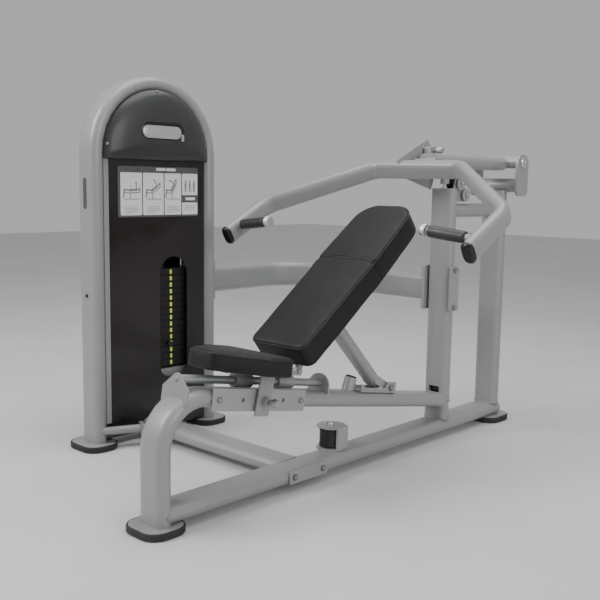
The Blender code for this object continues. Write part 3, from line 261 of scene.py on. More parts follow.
ZINC = finish("zinc_plated_screw", (0.20, 0.20, 0.21), (0.30, 0.30, 0.31), (0.30, 0.40), metallic=0.8,
              grain=(900.0, 0.00004))
SATIN_STEEL = finish("satin_steel", (0.38, 0.39, 0.40), (0.44, 0.45, 0.46), (0.42, 0.50), metallic=0.7,
                     grain=(1600.0, 0.00002))
WELD = finish("painted_weld", (0.290, 0.293, 0.294), (0.315, 0.318, 0.319), (0.36, 0.44), metallic=0.15,
              grain=(260.0, 0.0006))
PRINT_WHITE = finish("printed_white", (0.80, 0.80, 0.80), (0.85, 0.85, 0.85), (0.26, 0.36), patches=2.0,
                     grain=(400.0, 0.00001), coat=0.2)
PRINT_GREY = finish("printed_grey", (0.24, 0.24, 0.25), (0.30, 0.30, 0.31), (0.30, 0.40),
                    grain=(400.0, 0.00001))
PRINT_RED = finish("printed_red", (0.50, 0.05, 0.04), (0.60, 0.08, 0.06), (0.30, 0.40),
                   grain=(400.0, 0.00001))
BADGE = finish("badge_plate", (0.44, 0.44, 0.45), (0.54, 0.54, 0.55), (0.30, 0.38), metallic=0.45,
               patches=50.0, grain=(1200.0, 0.00005), stretch=(1.0, 0.12, 1.0))
SLOT_INLAY = finish("slot_inlay", (0.060, 0.064, 0.068), (0.074, 0.078, 0.082), (0.34, 0.42),
                    grain=(500.0, 0.00005))


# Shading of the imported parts

def curve_shading():
    """Geometry nodes that join facets into smooth curves and keep true corners sharp."""
    group = bpy.data.node_groups.new("curve_shading", "GeometryNodeTree")
    group.interface.new_socket("Geometry", in_out="INPUT", socket_type="NodeSocketGeometry")
    group.interface.new_socket("Geometry", in_out="OUTPUT", socket_type="NodeSocketGeometry")
    start = group.nodes.new("NodeGroupInput")
    merge = group.nodes.new("GeometryNodeMergeByDistance")
    merge.inputs["Distance"].default_value = 0.00001
    smooth = group.nodes.new("GeometryNodeSetShadeSmooth")
    corners = group.nodes.new("GeometryNodeSetShadeSmooth")
    corners.domain = "EDGE"
    corners.inputs["Shade Smooth"].default_value = False
    angle = group.nodes.new("GeometryNodeInputMeshEdgeAngle")
    compare = group.nodes.new("FunctionNodeCompare")
    compare.operation = "GREATER_THAN"
    compare.inputs["B"].default_value = math.radians(SMOOTH_ANGLE)
    end = group.nodes.new("NodeGroupOutput")
    group.links.new(start.outputs[0], merge.inputs["Geometry"])
    group.links.new(merge.outputs["Geometry"], smooth.inputs["Geometry"])
    group.links.new(smooth.outputs["Geometry"], corners.inputs["Geometry"])
    group.links.new(angle.outputs["Unsigned Angle"], compare.inputs["A"])
    group.links.new(compare.outputs["Result"], corners.inputs["Selection"])
    group.links.new(corners.outputs["Geometry"], end.inputs[0])
    return group


def dress_frame():
    """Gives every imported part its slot's finish and clean shading."""
    group = curve_shading()
    for entry in frame["record"]["subparts"]:
        node = frame["nodes"][entry["node"]]
        node.data.materials.clear()
        satin = entry["node"] in SATIN_NODES
        node.data.materials.append(SATIN_STEEL if satin else FINISHES[entry["material_slot"]])
        if "custom_normal" in node.data.attributes:
            node.data.attributes.remove(node.data.attributes["custom_normal"])
        shading = node.modifiers.new("Curve shading", "NODES")
        shading.node_group = group
        weighted = node.modifiers.new("Weighted normals", "WEIGHTED_NORMAL")
        weighted.keep_sharp = True


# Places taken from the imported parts

def turned_frame(degrees):
    return Matrix.Rotation(math.radians(degrees), 4, "X")


def extent(node, turn):
    """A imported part's lowest and highest corner along the axes of a turned frame."""
    inverse = turn.inverted()
    points = [inverse @ vertex.co for vertex in frame["nodes"][node].data.vertices]
    low = Vector([min(point[axis] for point in points) for axis in range(3)])
    high = Vector([max(point[axis] for point in points) for axis in range(3)])
    return low, high


def surface(item):
    """An object's surface as it stands, for laying things on it."""
    mesh = item.data
    return BVHTree.FromPolygons([v.co for v in mesh.vertices], [list(p.vertices) for p in mesh.polygons])


def joint_place(name):
    return Vector(next(entry["pos_m"] for entry in frame["joints"] if entry["name"] == name))


def look_along(axis, position):
    """A frame at a position whose local z points along an axis."""
    return Matrix.Translation(position) @ Vector(axis).to_track_quat("Z", "Y").to_matrix().to_4x4()


def on_face(x, y, z):
    """A frame on a face that looks along +X: local x runs along +Y, and local y up."""
    return Matrix(((0, 0, 1, x), (1, 0, 0, y), (0, 1, 0, z), (0, 0, 0, 1)))


# Outlines and solids

def arc(centre, radius, start, end, steps):
    """Points along an arc between two angles."""
    points = []
    for step in range(steps + 1):
        angle = math.radians(start + (end - start) * step / steps)
        points.append((centre[0] + radius * math.cos(angle), centre[1] + radius * math.sin(angle)))
    return points


def rounded(corners, radius, steps=4):
    """A polygon with rounded corners, by one radius or by a tuple of them."""
    points = []
    radii = radius if isinstance(radius, tuple) else (radius,) * len(corners)
    for index in range(len(corners)):
        corner = Vector(corners[index])
        before = (Vector(corners[index - 1]) - corner).normalized()
        after = (Vector(corners[(index + 1) % len(corners)]) - corner).normalized()
        half = before.angle(after) / 2
        centre = corner + (before + after).normalized() * radii[index] / math.sin(half)
        first = corner + before * radii[index] / math.tan(half) - centre
        last = corner + after * radii[index] / math.tan(half) - centre
        turn = first.angle_signed(last)
        for step in range(steps + 1):
            points.append(tuple(centre + Matrix.Rotation(-turn * step / steps, 2) @ first))
    return points


def rectangle(width, height, radius, centre=(0.0, 0.0), steps=4):
    """A rectangle with rounded corners."""
    half_w, half_h = width / 2, height / 2
    corners = [(half_w, -half_h), (half_w, half_h), (-half_w, half_h), (-half_w, -half_h)]
    return rounded([(x + centre[0], y + centre[1]) for x, y in corners], radius, steps)


def stadium_ring(wide, thin, steps=10):
    """The outline of an oval tube with flat sides."""
    flat = (wide - thin) / 2
    return arc((flat, 0), thin / 2, -90, 90, steps) + arc((-flat, 0), thin / 2, 90, 270, steps)


def middle_of(outline):
    return Vector((sum(p[0] for p in outline), sum(p[1] for p in outline))) / len(outline)


def spaced(outline, step):
    """The closed outline with points added until none are further apart than step."""
    points = []
    for index in range(len(outline)):
        start, end = Vector(outline[index]), Vector(outline[(index + 1) % len(outline)])
        count = max(1, math.ceil((end - start).length / step))
        points += [start.lerp(end, part / count) for part in range(count)]
    return points


def new_piece(name, shape, material, body, smooth=35.0):
    """A finished bmesh in world space becomes a piece that rides on a body."""
    bmesh.ops.recalc_face_normals(shape, faces=shape.faces)
    mesh = bpy.data.meshes.new(name)
    shape.to_mesh(mesh)
    shape.free()
    mesh.shade_smooth()
    mesh.set_sharp_from_angle(angle=math.radians(smooth))
    mesh.materials.append(material)
    piece = bpy.data.objects.new(name, mesh)
    bpy.context.scene.collection.objects.link(piece)
    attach(piece, body)
    return piece


def turned_rings(profile, matrix):
    """A ring of points about the local z axis for each radius and height of a profile."""
    angles = [index * math.pi / 16 for index in range(32)]
    return [[matrix @ Vector((radius * math.cos(angle), radius * math.sin(angle), z)) for angle in angles]
            for radius, z in profile]


def stack_rings(rings, closed=True):
    """Rings of points joined into one solid, with flat ends if closed."""
    shape = bmesh.new()
    loops = [[shape.verts.new(point) for point in ring] for ring in rings]
    count = len(loops[0])
    for lower, upper in zip(loops, loops[1:]):
        for index in range(count):
            after = (index + 1) % count
            shape.faces.new((lower[index], lower[after], upper[after], upper[index]))
    if closed:
        shape.faces.new(loops[0])
        shape.faces.new(loops[-1])
    return shape


def slab(outline, low, high, matrix, edge=0.0004):
    """A thin plate with softened upper edges."""
    centre = middle_of(outline)
    size = max((Vector(p) - centre).length for p in outline)
    inner = [centre + (Vector(p) - centre) * (1 - edge / size) for p in outline]
    rings = [[matrix @ Vector((x, y, low)) for x, y in outline]]
    rings.append([matrix @ Vector((x, y, high - edge)) for x, y in outline])
    rings.append([matrix @ Vector((x, y, high)) for x, y in inner])
    return stack_rings(rings)


def cord(name, points, radius, material, body, closed=True, ripple=0.0):
    """A round cord through the points; ripple makes the beads of a weld."""
    curve = bpy.data.curves.new(name, "CURVE")
    curve.dimensions = "3D"
    curve.bevel_depth = radius
    curve.bevel_resolution = 3
    curve.use_fill_caps = True
    spline = curve.splines.new("POLY")
    spline.points.add(len(points) - 1)
    for index, point in enumerate(points):
        spline.points[index].co = (*point, 1.0)
        spline.points[index].radius = 1.0 + ripple * math.sin(index * 2.1)
    spline.use_cyclic_u = closed
    spline.use_smooth = True
    curve.materials.append(material)
    piece = bpy.data.objects.new(name, curve)
    bpy.context.scene.collection.objects.link(piece)
    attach(piece, body)
    return piece


# Upholstery

def pad_mesh(name, rings):
    """An object made of stacked rings, still in its turned frame."""
    shape = stack_rings(rings)
    bmesh.ops.recalc_face_normals(shape, faces=shape.faces)
    mesh = bpy.data.meshes.new(name)
    shape.to_mesh(mesh)
    shape.free()
    pad = bpy.data.objects.new(name, mesh)
    bpy.context.scene.collection.objects.link(pad)
    return pad


def inflate(pad, rest_height, cap):
    """Lets pressure fill the pad, by at most cap; points below rest_height stay put."""
    start = [vertex.co.copy() for vertex in pad.data.vertices]
    held = pad.vertex_groups.new(name="held")
    held.add([index for index, point in enumerate(start) if point.z < rest_height], 1.0, "REPLACE")
    cloth = pad.modifiers.new("Cloth", "CLOTH")
    cloth.settings.quality = 4
    cloth.settings.mass = 0.3
    cloth.settings.tension_stiffness = 25.0
    cloth.settings.compression_stiffness = 25.0
    cloth.settings.shear_stiffness = 10.0
    cloth.settings.bending_stiffness = 1.5
    cloth.settings.use_pressure = True
    cloth.settings.uniform_pressure_force = 4.0
    cloth.settings.vertex_group_mass = "held"
    cloth.settings.effector_weights.gravity = 0.0
    cloth.point_cache.frame_start = 1
    cloth.point_cache.frame_end = SWELL_FRAMES
    scene = bpy.context.scene
    for step in range(1, SWELL_FRAMES + 1):
        scene.frame_set(step)
    swollen = pad.evaluated_get(bpy.context.evaluated_depsgraph_get())
    moved = [vertex.co.copy() for vertex in swollen.data.vertices]
    pad.modifiers.remove(cloth)
    scene.frame_set(1)
    shifts = [after - before for before, after in zip(start, moved)]
    share = min(1.0, cap / max(shift.length for shift in shifts))
    for vertex, before, shift in zip(pad.data.vertices, start, shifts):
        vertex.co = before + shift * share


def relax(pad, rounds):
    """Evens out the remesh's steps."""
    shape = bmesh.new()
    shape.from_mesh(pad.data)
    for _ in range(rounds):
        bmesh.ops.smooth_vert(shape, verts=shape.verts, factor=0.5, use_axis_x=True, use_axis_y=True,
                              use_axis_z=True)
    shape.to_mesh(pad.data)
    shape.free()


def finish_pad(pad, turn, node, body):
    """Stands the finished cushion in its frame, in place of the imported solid."""
    pad.data.transform(turn)
    pad.data.materials.clear()
    pad.data.materials.append(FINISHES["upholstery"])
    pad.data.shade_smooth()
    smoother = pad.modifiers.new("Subdivision", "SUBSURF")
    smoother.levels = 1
    smoother.render_levels = 1
    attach(pad, body)
    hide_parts(node)


def lay_cord(name, tree, points, body, radius, material, lift=0.0):
    """A cord that follows the cushion's surface."""
    laid = []
    for point in points:
        place_on, normal, _, _ = tree.find_nearest(point)
        laid.append(place_on + normal * lift)
    return cord(name, laid, radius, material, body)


def cushion(name, low, high, outline, crown, edge):
    """A crowned cushion over an outline, between two corners of the turned frame.

    Crown is the room left for the swelling at the top, and edge the radius round the top.
    """
    centre = middle_of(outline)
    shrink = 0.004
    lip = 0.004

    def ring(inset, z):
        points = []
        for point in outline:
            away = Vector(point) - centre
            points.append((*(centre + away * (1 - inset / away.length)), z))
        return points

    top = high.z - crown
    levels = [(shrink + lip, low.z), (shrink, low.z + lip)]
    levels += [(shrink, low.z + (top - edge - low.z) * part / 3) for part in (1, 2, 3)]
    for step in range(1, 6):
        angle = math.radians(90 * step / 5)
        levels.append((shrink + edge * (1 - math.cos(angle)), top - edge + edge * math.sin(angle)))
    pad = pad_mesh(name, [ring(inset, z) for inset, z in levels])
    bpy.context.view_layer.objects.active = pad
    pad.data.remesh_voxel_size = CUSHION_VOXEL
    bpy.ops.object.voxel_remesh()
    inflate(pad, rest_height=low.z + 0.006, cap=0.006)
    relax(pad, 6)
    return pad


def seat_outline(low, high):
    """Narrow between the knees, wide below the hips."""
    flare = low.y + (high.y - low.y) * 0.578
    side = [(high.x * 0.333, low.y), (high.x, flare), (high.x, high.y)]
    return rounded(side + [(-x, y) for x, y in reversed(side)], 0.030, 8)


def back_outline(low, high):
    """Widest at the shoulders, well rounded at the head."""
    shoulder = low.y + (high.y - low.y) * 0.553
    side = [(high.x * 0.912, low.y), (high.x, shoulder), (high.x * 0.853, high.y)]
    radii = (0.030, 0.200, 0.085, 0.085, 0.200, 0.030)
    return rounded(side + [(-x, y) for x, y in reversed(side)], radii, 10)


def stitches(name, tree, points, body):
    """A row of short threads laid on the surface."""
    pitch, half_length = 0.007, 0.0022
    section = ((-0.0007, 0.0), (-0.0004, 0.0006), (0.0004, 0.0006), (0.0007, 0.0))
    shape = bmesh.new()
    travelled = 0.0
    for start, end in zip(points, points[1:]):
        travelled += (end - start).length
        if travelled < pitch:
            continue
        travelled = 0.0
        centre, normal, _, _ = tree.find_nearest(end)
        along = (end - start).normalized()
        across = normal.cross(along)
        rows = []
        for side, height in section:
            offset = across * side + normal * height
            ends = (-half_length, half_length)
            rows.append([shape.verts.new(centre + offset + along * end_at) for end_at in ends])
        for first, second in zip(rows, rows[1:] + rows[:1]):
            shape.faces.new((first[0], first[1], second[1], second[0]))
        shape.faces.new([row[0] for row in rows])
        shape.faces.new([row[1] for row in reversed(rows)])
    return new_piece(name, shape, THREAD, body)


def build_seat_pad():
    """The seat's cushion, piped round both edges, with a row of stitches inside the upper one."""
    turn = turned_frame(RAIL_SLOPE)
    low, high = extent("seat_pad", turn)
    outline = [tuple(p) for p in spaced(seat_outline(low, high), CUSHION_STEP)]
    pad = cushion("seat_cushion", low, high, outline, crown=0.006, edge=0.011)
    finish_pad(pad, turn, "seat_pad", "seat")
    tree = surface(pad)
    upper = [turn @ Vector((x, y, high.z - 0.013)) for x, y in outline]
    lower = [turn @ Vector((x, y, low.z + 0.009)) for x, y in outline]
    # The upper piping's lighter vinyl is a painted highlight.
    lay_cord("seat_piping", tree, upper, "seat", 0.0023, PIPING_PAINTED_HIGHLIGHT, 0.0004)
    lay_cord("seat_lower_piping", tree, lower, "seat", 0.0018, FINISHES["upholstery"])
    centre = middle_of(outline)
    inner = [turn @ Vector((*(centre + (Vector(p) - centre) * 0.90), high.z)) for p in outline]
    stitches("seat_stitches", tree, inner + inner[:1], "seat")


def build_back_pad():
    """The back's cushion: a sewn channel parts it from a head section that stands a little prouder."""
    turn = turned_frame(BACK_ANGLE)
    low, high = extent("back_pad", turn)
    outline = [tuple(p) for p in spaced(back_outline(low, high), CUSHION_STEP)]
    pad = cushion("back_cushion", low, high, outline, crown=0.007, edge=0.012)
    seam = low.y + (high.y - low.y) * SEAM_SHARE
    channel_width, channel_depth, head_rise = 0.007, 0.0070, 0.0035
    for vertex in pad.data.vertices:
        offset = (vertex.co.y - seam) / channel_width
        groove = math.exp(-offset * offset)
        rise = 1 / (1 + math.exp(-offset * 1.6))
        middle = Vector((0.0, vertex.co.y, (low.z + high.z) / 2 - 0.01))
        outward = vertex.co - middle
        free = min(1.0, max(0.0, (vertex.co.z - low.z) / 0.02))
        vertex.co += outward.normalized() * (rise * head_rise - groove * channel_depth) * free
    finish_pad(pad, turn, "back_pad", "back")
    tree = surface(pad)
    upper = [turn @ Vector((x, y, high.z - 0.014)) for x, y in outline]
    lower = [turn @ Vector((x, y, low.z + 0.009)) for x, y in outline]
    # The upper and cross piping take the lighter vinyl, a painted highlight.
    lay_cord("back_piping", tree, upper, "back", 0.0024, PIPING_PAINTED_HIGHLIGHT, 0.0004)
    lay_cord("back_lower_piping", tree, lower, "back", 0.0018, FINISHES["upholstery"])
    half_width = high.x * 0.98
    across = []
    for degrees in range(-96, 97, 4):
        angle = math.radians(degrees)
        height = high.z - 0.03 + 0.05 * math.cos(angle)
        across.append(turn @ Vector((half_width * math.sin(angle), seam, height)))
    laid = [tree.find_nearest(point)[0] for point in across]
    cord("back_cross_piping", laid, 0.0020, PIPING_PAINTED_HIGHLIGHT, "back", closed=False)
    for label, offset in (("lower", -0.009), ("upper", 0.009)):
        row = [turn @ (turn.inverted() @ point + Vector((0, offset, 0))) for point in laid]
        stitches("back_stitches_" + label, tree, row, "back")


# Grips

def build_grips():
    """Turned rubber sleeves with fine ridges, a little fuller in the middle."""
    arm = turned_frame(ARM_TILT)
    half, radius, bore, end = 0.0655, 0.0198, 0.0136, 0.003
    swell, ridge, ridges = 0.0006, 0.0003, 24
    for name, side in (("left", 1), ("right", -1)):
        low, high = extent("grip_" + name, arm)
        middle = (low + high) / 2
        turn = Matrix.Rotation(math.radians(side * (GRIP_TILT - 90)), 4, "Y")
        profile = [(bore, -half), (radius * 0.93, -half), (radius, -half + end)]
        for step in range(1, ridges):
            z = -half + end + 2 * (half - end) * step / ridges
            fuller = swell * math.sin(math.pi * step / ridges)
            profile.append((radius + fuller - ridge * (step % 2), z))
        profile += [(radius, half - end), (radius * 0.93, half), (bore, half)]
        matrix = Matrix.Translation(arm @ middle) @ arm @ turn
        shape = stack_rings(turned_rings(profile + profile[:1], matrix), closed=False)
        bmesh.ops.remove_doubles(shape, verts=shape.verts, dist=0.00001)
        grip = new_piece("hand_grip_" + name, shape, FINISHES["grip_rubber"], "arm", 60.0)
        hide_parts("grip_" + name)


# Fasteners and welds

def socket_screw(name, position, axis, radius, height, material=ZINC):
    """A button head with a hexagonal socket."""
    matrix = look_along(axis, position)
    segments = 24
    profile = [(radius, -0.0004, False), (radius, height * 0.45, False),
               (radius * 0.86, height * 0.85, False), (radius * 0.62, height, False),
               (radius * 0.46, height, True), (radius * 0.42, height * 0.5, True)]
    rings = []
    for ring_radius, z, hexagonal in profile:
        ring = []
        for index in range(segments):
            angle = 2 * math.pi * index / segments
            length = ring_radius
            if hexagonal:
                length *= 0.9 / math.cos((angle % (math.pi / 3)) - math.pi / 6)
            ring.append(matrix @ Vector((length * math.cos(angle), length * math.sin(angle), z)))
        rings.append(ring)
    return new_piece(name, stack_rings(rings), material, "frame")


def weld(name, points):
    """A painted bead through the points."""
    return cord(name, points, WELD_RADIUS, WELD, "frame", ripple=0.14)


def weld_bead(name, centre, first, second, wide=TUBE_WIDE, thin=TUBE_THIN):
    """A bead round the end of an oval tube; first and second are the oval's axes."""
    ring = spaced(stadium_ring(wide, thin), WELD_STEP)
    return weld(name, [Vector(centre) + Vector(first) * x + Vector(second) * y for x, y in ring])


def stand_out(offset, radius):
    """How far a round side stands out at an offset from its middle."""
    return math.sqrt(max(0.0, radius * radius - offset * offset))


def build_welds():
    """Beads where the tubes meet; the three coped ones follow the tube that they are cut round."""
    x, y, z = (1, 0, 0), (0, 1, 0), (0, 0, 1)
    half, flat = TUBE_THIN / 2, (TUBE_WIDE - TUBE_THIN) / 2
    tube_ring = spaced(stadium_ring(TUBE_WIDE, TUBE_THIN), WELD_STEP)

    low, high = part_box("rear_upright")
    weld_bead("rear_upright_weld", (0, (low.y + high.y) / 2, low.z), x, y)
    base_top = low.z
    spine = base_top - half

    low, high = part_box("main_upright")
    centre_y = (low.y + high.y) / 2
    rail = surface(frame["nodes"]["bench_frame"])
    above_rail, within = 0.4, 0.99
    cope = []
    for across, along in tube_ring:
        inside = Vector((across * within, centre_y + along * within, above_rail))
        hit = rail.ray_cast(inside, Vector((0, 0, -1)))[0]
        cope.append(Vector((across, centre_y + along, max(hit.z, low.z) if hit else low.z)))
    weld("main_upright_weld", cope)
    weld_bead("bench_rear_weld", (0, centre_y, base_top), x, y)

    low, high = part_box("tie_tube")
    tie_wide, tie_thin = 0.085, 0.055
    for label, end in (("front", low.y), ("rear", high.y)):
        weld_bead(f"tie_weld_{label}", (0, end, (low.z + high.z) / 2), x, z, tie_wide, tie_thin)

    low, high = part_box("cross_tube")
    cross_y = high.y - TUBE_WIDE / 2
    weld_bead("cross_weld_tower", (low.x, cross_y, spine), y, z)
    side = [Vector((-flat - stand_out(b, half), cross_y + a, spine + b)) for a, b in tube_ring]
    weld("cross_weld_base", side)

    low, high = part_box("foot_front")
    post_y = (low.y + high.y) / 2
    back = []
    for a, b in tube_ring:
        back.append(Vector((a, post_y + stand_out(max(0.0, abs(a) - flat), half), spine + b)))
    weld("base_front_weld", back)

    arm_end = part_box("connecting_arm")[1].x - 0.0145
    low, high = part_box("upright_clamp_plate")
    weld_bead("clamp_weld", (arm_end, (low.y + high.y) / 2, (low.z + high.z) / 2), y, z, TUBE_WIDE * 0.70)


def build_screws():
    """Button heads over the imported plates' own plain ones, whose height is taken off each face."""
    sideways, steel = (1, 0, 0), FINISHES["bright_steel"]

    low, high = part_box("cross_joint_plate")
    middle = (low + high) / 2
    for label, offset in (("front", -0.070), ("rear", 0.070)):
        spot = (high.x - 0.008, middle.y + offset, middle.z)
        socket_screw(f"cross_screw_{label}", spot, sideways, 0.0104, 0.0088)

    low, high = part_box("upright_clamp_plate")
    for label, offset in (("lower", -0.075), ("upper", 0.075)):
        spot = (high.x - 0.009, (low.y + high.y) / 2, (low.z + high.z) / 2 + offset)
        socket_screw(f"clamp_screw_{label}", spot, sideways, 0.0114, 0.0098)

    rail = turned_frame(RAIL_SLOPE)
    low, high = extent("seat_index_plate", rail)
    for label, along in (("front", low.y + 0.026), ("rear", high.y - 0.020)):
        spot = rail @ Vector((high.x - 0.006, along, (low.z + high.z) / 2))
        socket_screw(f"index_plate_screw_{label}", spot, sideways, 0.0094, 0.0068)

    low, high = extent("strut_clevis", rail)
    spot = joint_place("strut_swing") + Vector((high.x - 0.007, 0, 0))
    socket_screw("clevis_screw", spot, sideways, 0.0124, 0.0078)

    for name in ("upper", "lower"):
        spot = joint_place(name + "_pulley_turn") + Vector((0.040, 0, 0))
        socket_screw(f"{name}_pulley_screw", spot, sideways, 0.0100, 0.0066, steel)
    spot = joint_place("base_pulley_turn")
    spot.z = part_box("base_pulley_bracket")[1].z - 0.009
    socket_screw("base_pulley_screw", spot, (0, 0, 1), 0.0128, 0.0100, steel)

    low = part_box("front_shroud")[0]
    spot = (low.x - 0.0295, low.y - TUBE_THIN - 0.0008, 0.593)
    socket_screw("tower_screw", spot, (0, -1, 0), 0.0075, 0.0045, BLACK_OXIDE)


# Weight tower

def tower_point(tree, y, z):
    """Where a line along -X at (y, z) meets the cowl or shroud, and the surface's normal there."""
    hit, normal, _, _ = tree.ray_cast(Vector((1.0, y, z)), Vector((-1.0, 0.0, 0.0)))
    return hit, normal


def laid_plate(name, tree, outline, low, high, material):
    """A thin plate that follows the cowl's curve."""
    centre = middle_of(outline)
    rings = []
    levels = [(1.0, low), (1.0, high - 0.0008)] + [(scale, high) for scale in (0.985, 0.75, 0.45, 0.12)]
    for scale, lift in levels:
        ring = []
        for y, z in outline:
            flat = centre + (Vector((y, z)) - centre) * scale
            hit, _ = tower_point(tree, flat.x, flat.y)
            ring.append(hit + Vector((lift, 0, 0)))
        rings.append(ring)
    return new_piece(name, stack_rings(rings), material, "frame")


def build_badge():
    """A blank plate in a dark pill-shaped surround on the cowl; the surround is a real moulding whose black is
    painted shade of the recess round the plate.
    """
    tree = surface(frame["nodes"]["top_cowl"])
    low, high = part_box("top_cowl")
    middle = (low.y + high.y) / 2
    height = low.z + 0.107
    surround_size, plate_size, clip_size = (0.209, 0.066), (0.184, 0.048), (0.012, 0.026)
    surround = [(y + middle, z + height + 0.006) for y, z in stadium_ring(*surround_size, 14)]
    # The surround's black is painted shade of the recess round the plate.
    laid_plate("badge_surround_painted_shade", tree, surround, -0.004, 0.0022, FINISHES["black_plastic"])
    face = [(y + middle - 0.006, z + height) for y, z in stadium_ring(*plate_size, 14)]
    laid_plate("badge_plate", tree, face, 0.001, 0.0040, BADGE)
    hit, normal = tower_point(tree, middle + 0.091, height - 0.018)
    clip = slab(rectangle(*clip_size, 0.003), 0.0, 0.006, look_along(normal, hit))
    new_piece("badge_clip", clip, BADGE, "frame")
    spots = ((middle - 0.012, high.z - 0.010), (low.y + 0.010, low.z + 0.055),
             (high.y - 0.018, low.z + 0.062))
    for number, (y, z) in enumerate(spots, 1):
        hit, normal = tower_point(tree, y, z)
        socket_screw(f"cowl_screw_{number}", hit, normal, 0.0060, 0.0034)


def build_shroud_trim():
    """The light strip that holds the front shroud along the tower's front side."""
    low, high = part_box("front_shroud")
    foot = 0.092
    size = Vector((0.005, 0.0215, high.z - foot))
    centre = Vector((high.x + 0.0003, low.y, foot)) + size / 2
    matrix = Matrix.Translation(centre) @ Matrix.Diagonal((*size, 1.0))
    shape = bmesh.new()
    bmesh.ops.create_cube(shape, size=1.0, matrix=matrix)
    new_piece("shroud_trim", shape, FINISHES["silver_paint"], "frame")


def prism(shape, outline, low, high, matrix):
    """Adds an upright solid over an outline to a shape."""
    lower = [shape.verts.new(matrix @ Vector((x, y, low))) for x, y in outline]
    upper = [shape.verts.new(matrix @ Vector((x, y, high))) for x, y in outline]
    shape.faces.new(lower)
    shape.faces.new(upper)
    for index in range(len(outline)):
        after = (index + 1) % len(outline)
        shape.faces.new((lower[index], lower[after], upper[after], upper[index]))


def ribbon(shape, points, width, layer):
    """Adds a flat strip along a line to a shape; layer is the low and high faces and the frame."""
    for start, end in zip(points, points[1:]):
        start, end = Vector(start), Vector(end)
        along = (end - start).normalized()
        across = Vector((-along.y, along.x)) * width / 2
        corners = [start - across - along * width * 0.3, end - across + along * width * 0.3]
        corners += [end + across + along * width * 0.3, start + across - along * width * 0.3]
        prism(shape, corners, *layer)


def disc(shape, centre, radius, layer):
    """Adds a flat round to a shape."""
    prism(shape, arc(centre, radius, 0, 360, 20)[:-1], *layer)


def pictogram(shape, centre, recline, layer):
    """A plain figure on a bench whose back leans at an angle."""
    cx, cy = centre
    hip = Vector((cx - 0.006, cy - 0.012))
    lean = Vector((math.cos(math.radians(recline)), math.sin(math.radians(recline))))
    seat_end = hip + Vector((0.004, -0.010))
    ribbon(shape, [(cx - 0.034, cy - 0.022), hip + Vector((0.0, -0.010))], 0.0040, layer)
    ribbon(shape, [seat_end, seat_end + lean * 0.044], 0.0040, layer)
    ribbon(shape, [(cx - 0.030, cy - 0.046), (cx + 0.036, cy - 0.046)], 0.0030, layer)
    ribbon(shape, [(cx - 0.004, cy - 0.024), (cx - 0.004, cy - 0.046)], 0.0036, layer)
    shoulder = hip + lean * 0.030
    ribbon(shape, [hip, shoulder], 0.0090, layer)
    disc(shape, hip + lean * 0.043, 0.0062, layer)
    knee = hip + Vector((-0.026, 0.002))
    ribbon(shape, [hip, knee, knee + Vector((-0.004, -0.030))], 0.0056, layer)
    hand = shoulder + Vector((-lean.y, lean.x)) * 0.026
    ribbon(shape, [shoulder, hand], 0.0042, layer)
    disc(shape, hand, 0.0036, layer)


def build_placard():
    """White panels with plain figures, in place of the maker's exercise guide."""
    low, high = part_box("guide_placard")
    size_y, size_z = high.y - low.y, high.z - low.z
    to_face = on_face(high.x, (low.y + high.y) / 2, (low.z + high.z) / 2)
    panel_layer, heading_layer = (0.0002, 0.0008, to_face), (0.0002, 0.0009, to_face)
    figure_layer, dot_layer = (0.0009, 0.0013, to_face), (0.0014, 0.0017, to_face)
    side, top, gap, bottom = 0.012, 0.032, 0.005, -size_z / 2 + 0.0075
    panel_height = size_z - top
    short, tall = 0.048, 0.086                      # the last column's two panels
    panels = bmesh.new()
    centres = []
    y = -size_y / 2 + side
    for index, width in enumerate((0.100, 0.100, 0.083, 0.080)):
        spans = [(bottom, panel_height)]
        if index == 3:
            spans = [(bottom, short), (bottom + panel_height - tall, tall)]
        for start, height in spans:
            prism(panels, rectangle(width, height, 0.004, (y + width / 2, start + height / 2)), *panel_layer)
        centres.append(y + width / 2)
        y += width + gap
    last = centres.pop()
    new_piece("placard_panels", panels, PRINT_WHITE, "frame")

    art = bmesh.new()
    figure_height = bottom + panel_height * 0.66
    rule = 0.0016
    for centre, recline in zip(centres, (4, 34, 62)):
        pictogram(art, (centre, figure_height), recline, figure_layer)
        for row in range(5):
            height = bottom + panel_height * 0.20 - row * 0.006
            end = centre + (0.030 if row < 4 else 0.002)
            ribbon(art, [(centre - 0.030, height), (end, height)], rule, figure_layer)
    upper_centre = bottom + panel_height * 0.70
    columns = [last + offset for offset in (-0.022, 0.0, 0.022)]
    for y in columns:
        disc(art, (y, upper_centre + 0.018), 0.0042, figure_layer)
        ribbon(art, [(y, upper_centre + 0.010), (y, upper_centre - 0.008)], 0.0090, figure_layer)
        for leg in (y - 0.0026, y + 0.0026):
            ribbon(art, [(leg, upper_centre - 0.009), (leg, upper_centre - 0.024)], 0.0032, figure_layer)
    for row in range(3):
        height = bottom + panel_height * 0.22 - row * 0.008
        ribbon(art, [(last - 0.028, height), (last + 0.028, height)], rule, figure_layer)
    new_piece("placard_figures", art, PRINT_GREY, "frame")

    dots = bmesh.new()
    for y in columns:
        disc(dots, (y, upper_centre + 0.004), 0.0026, dot_layer)
    for centre in centres:
        disc(dots, (centre - 0.004, figure_height + 0.004), 0.0020, dot_layer)
    new_piece("placard_dots", dots, PRINT_RED, "frame")

    title = bmesh.new()
    title_width, title_height = 0.0110, size_z / 2 - 0.0105
    for start, end in ((-0.012, 0.026), (0.037, 0.077)):
        ribbon(title, [(start, title_height), (end, title_height)], title_width, heading_layer)
    between = bottom + panel_height - 0.101
    ribbon(title, [(last - 0.018, between), (last + 0.024, between)], title_width, heading_layer)
    new_piece("placard_heading", title, PRINT_WHITE, "frame")


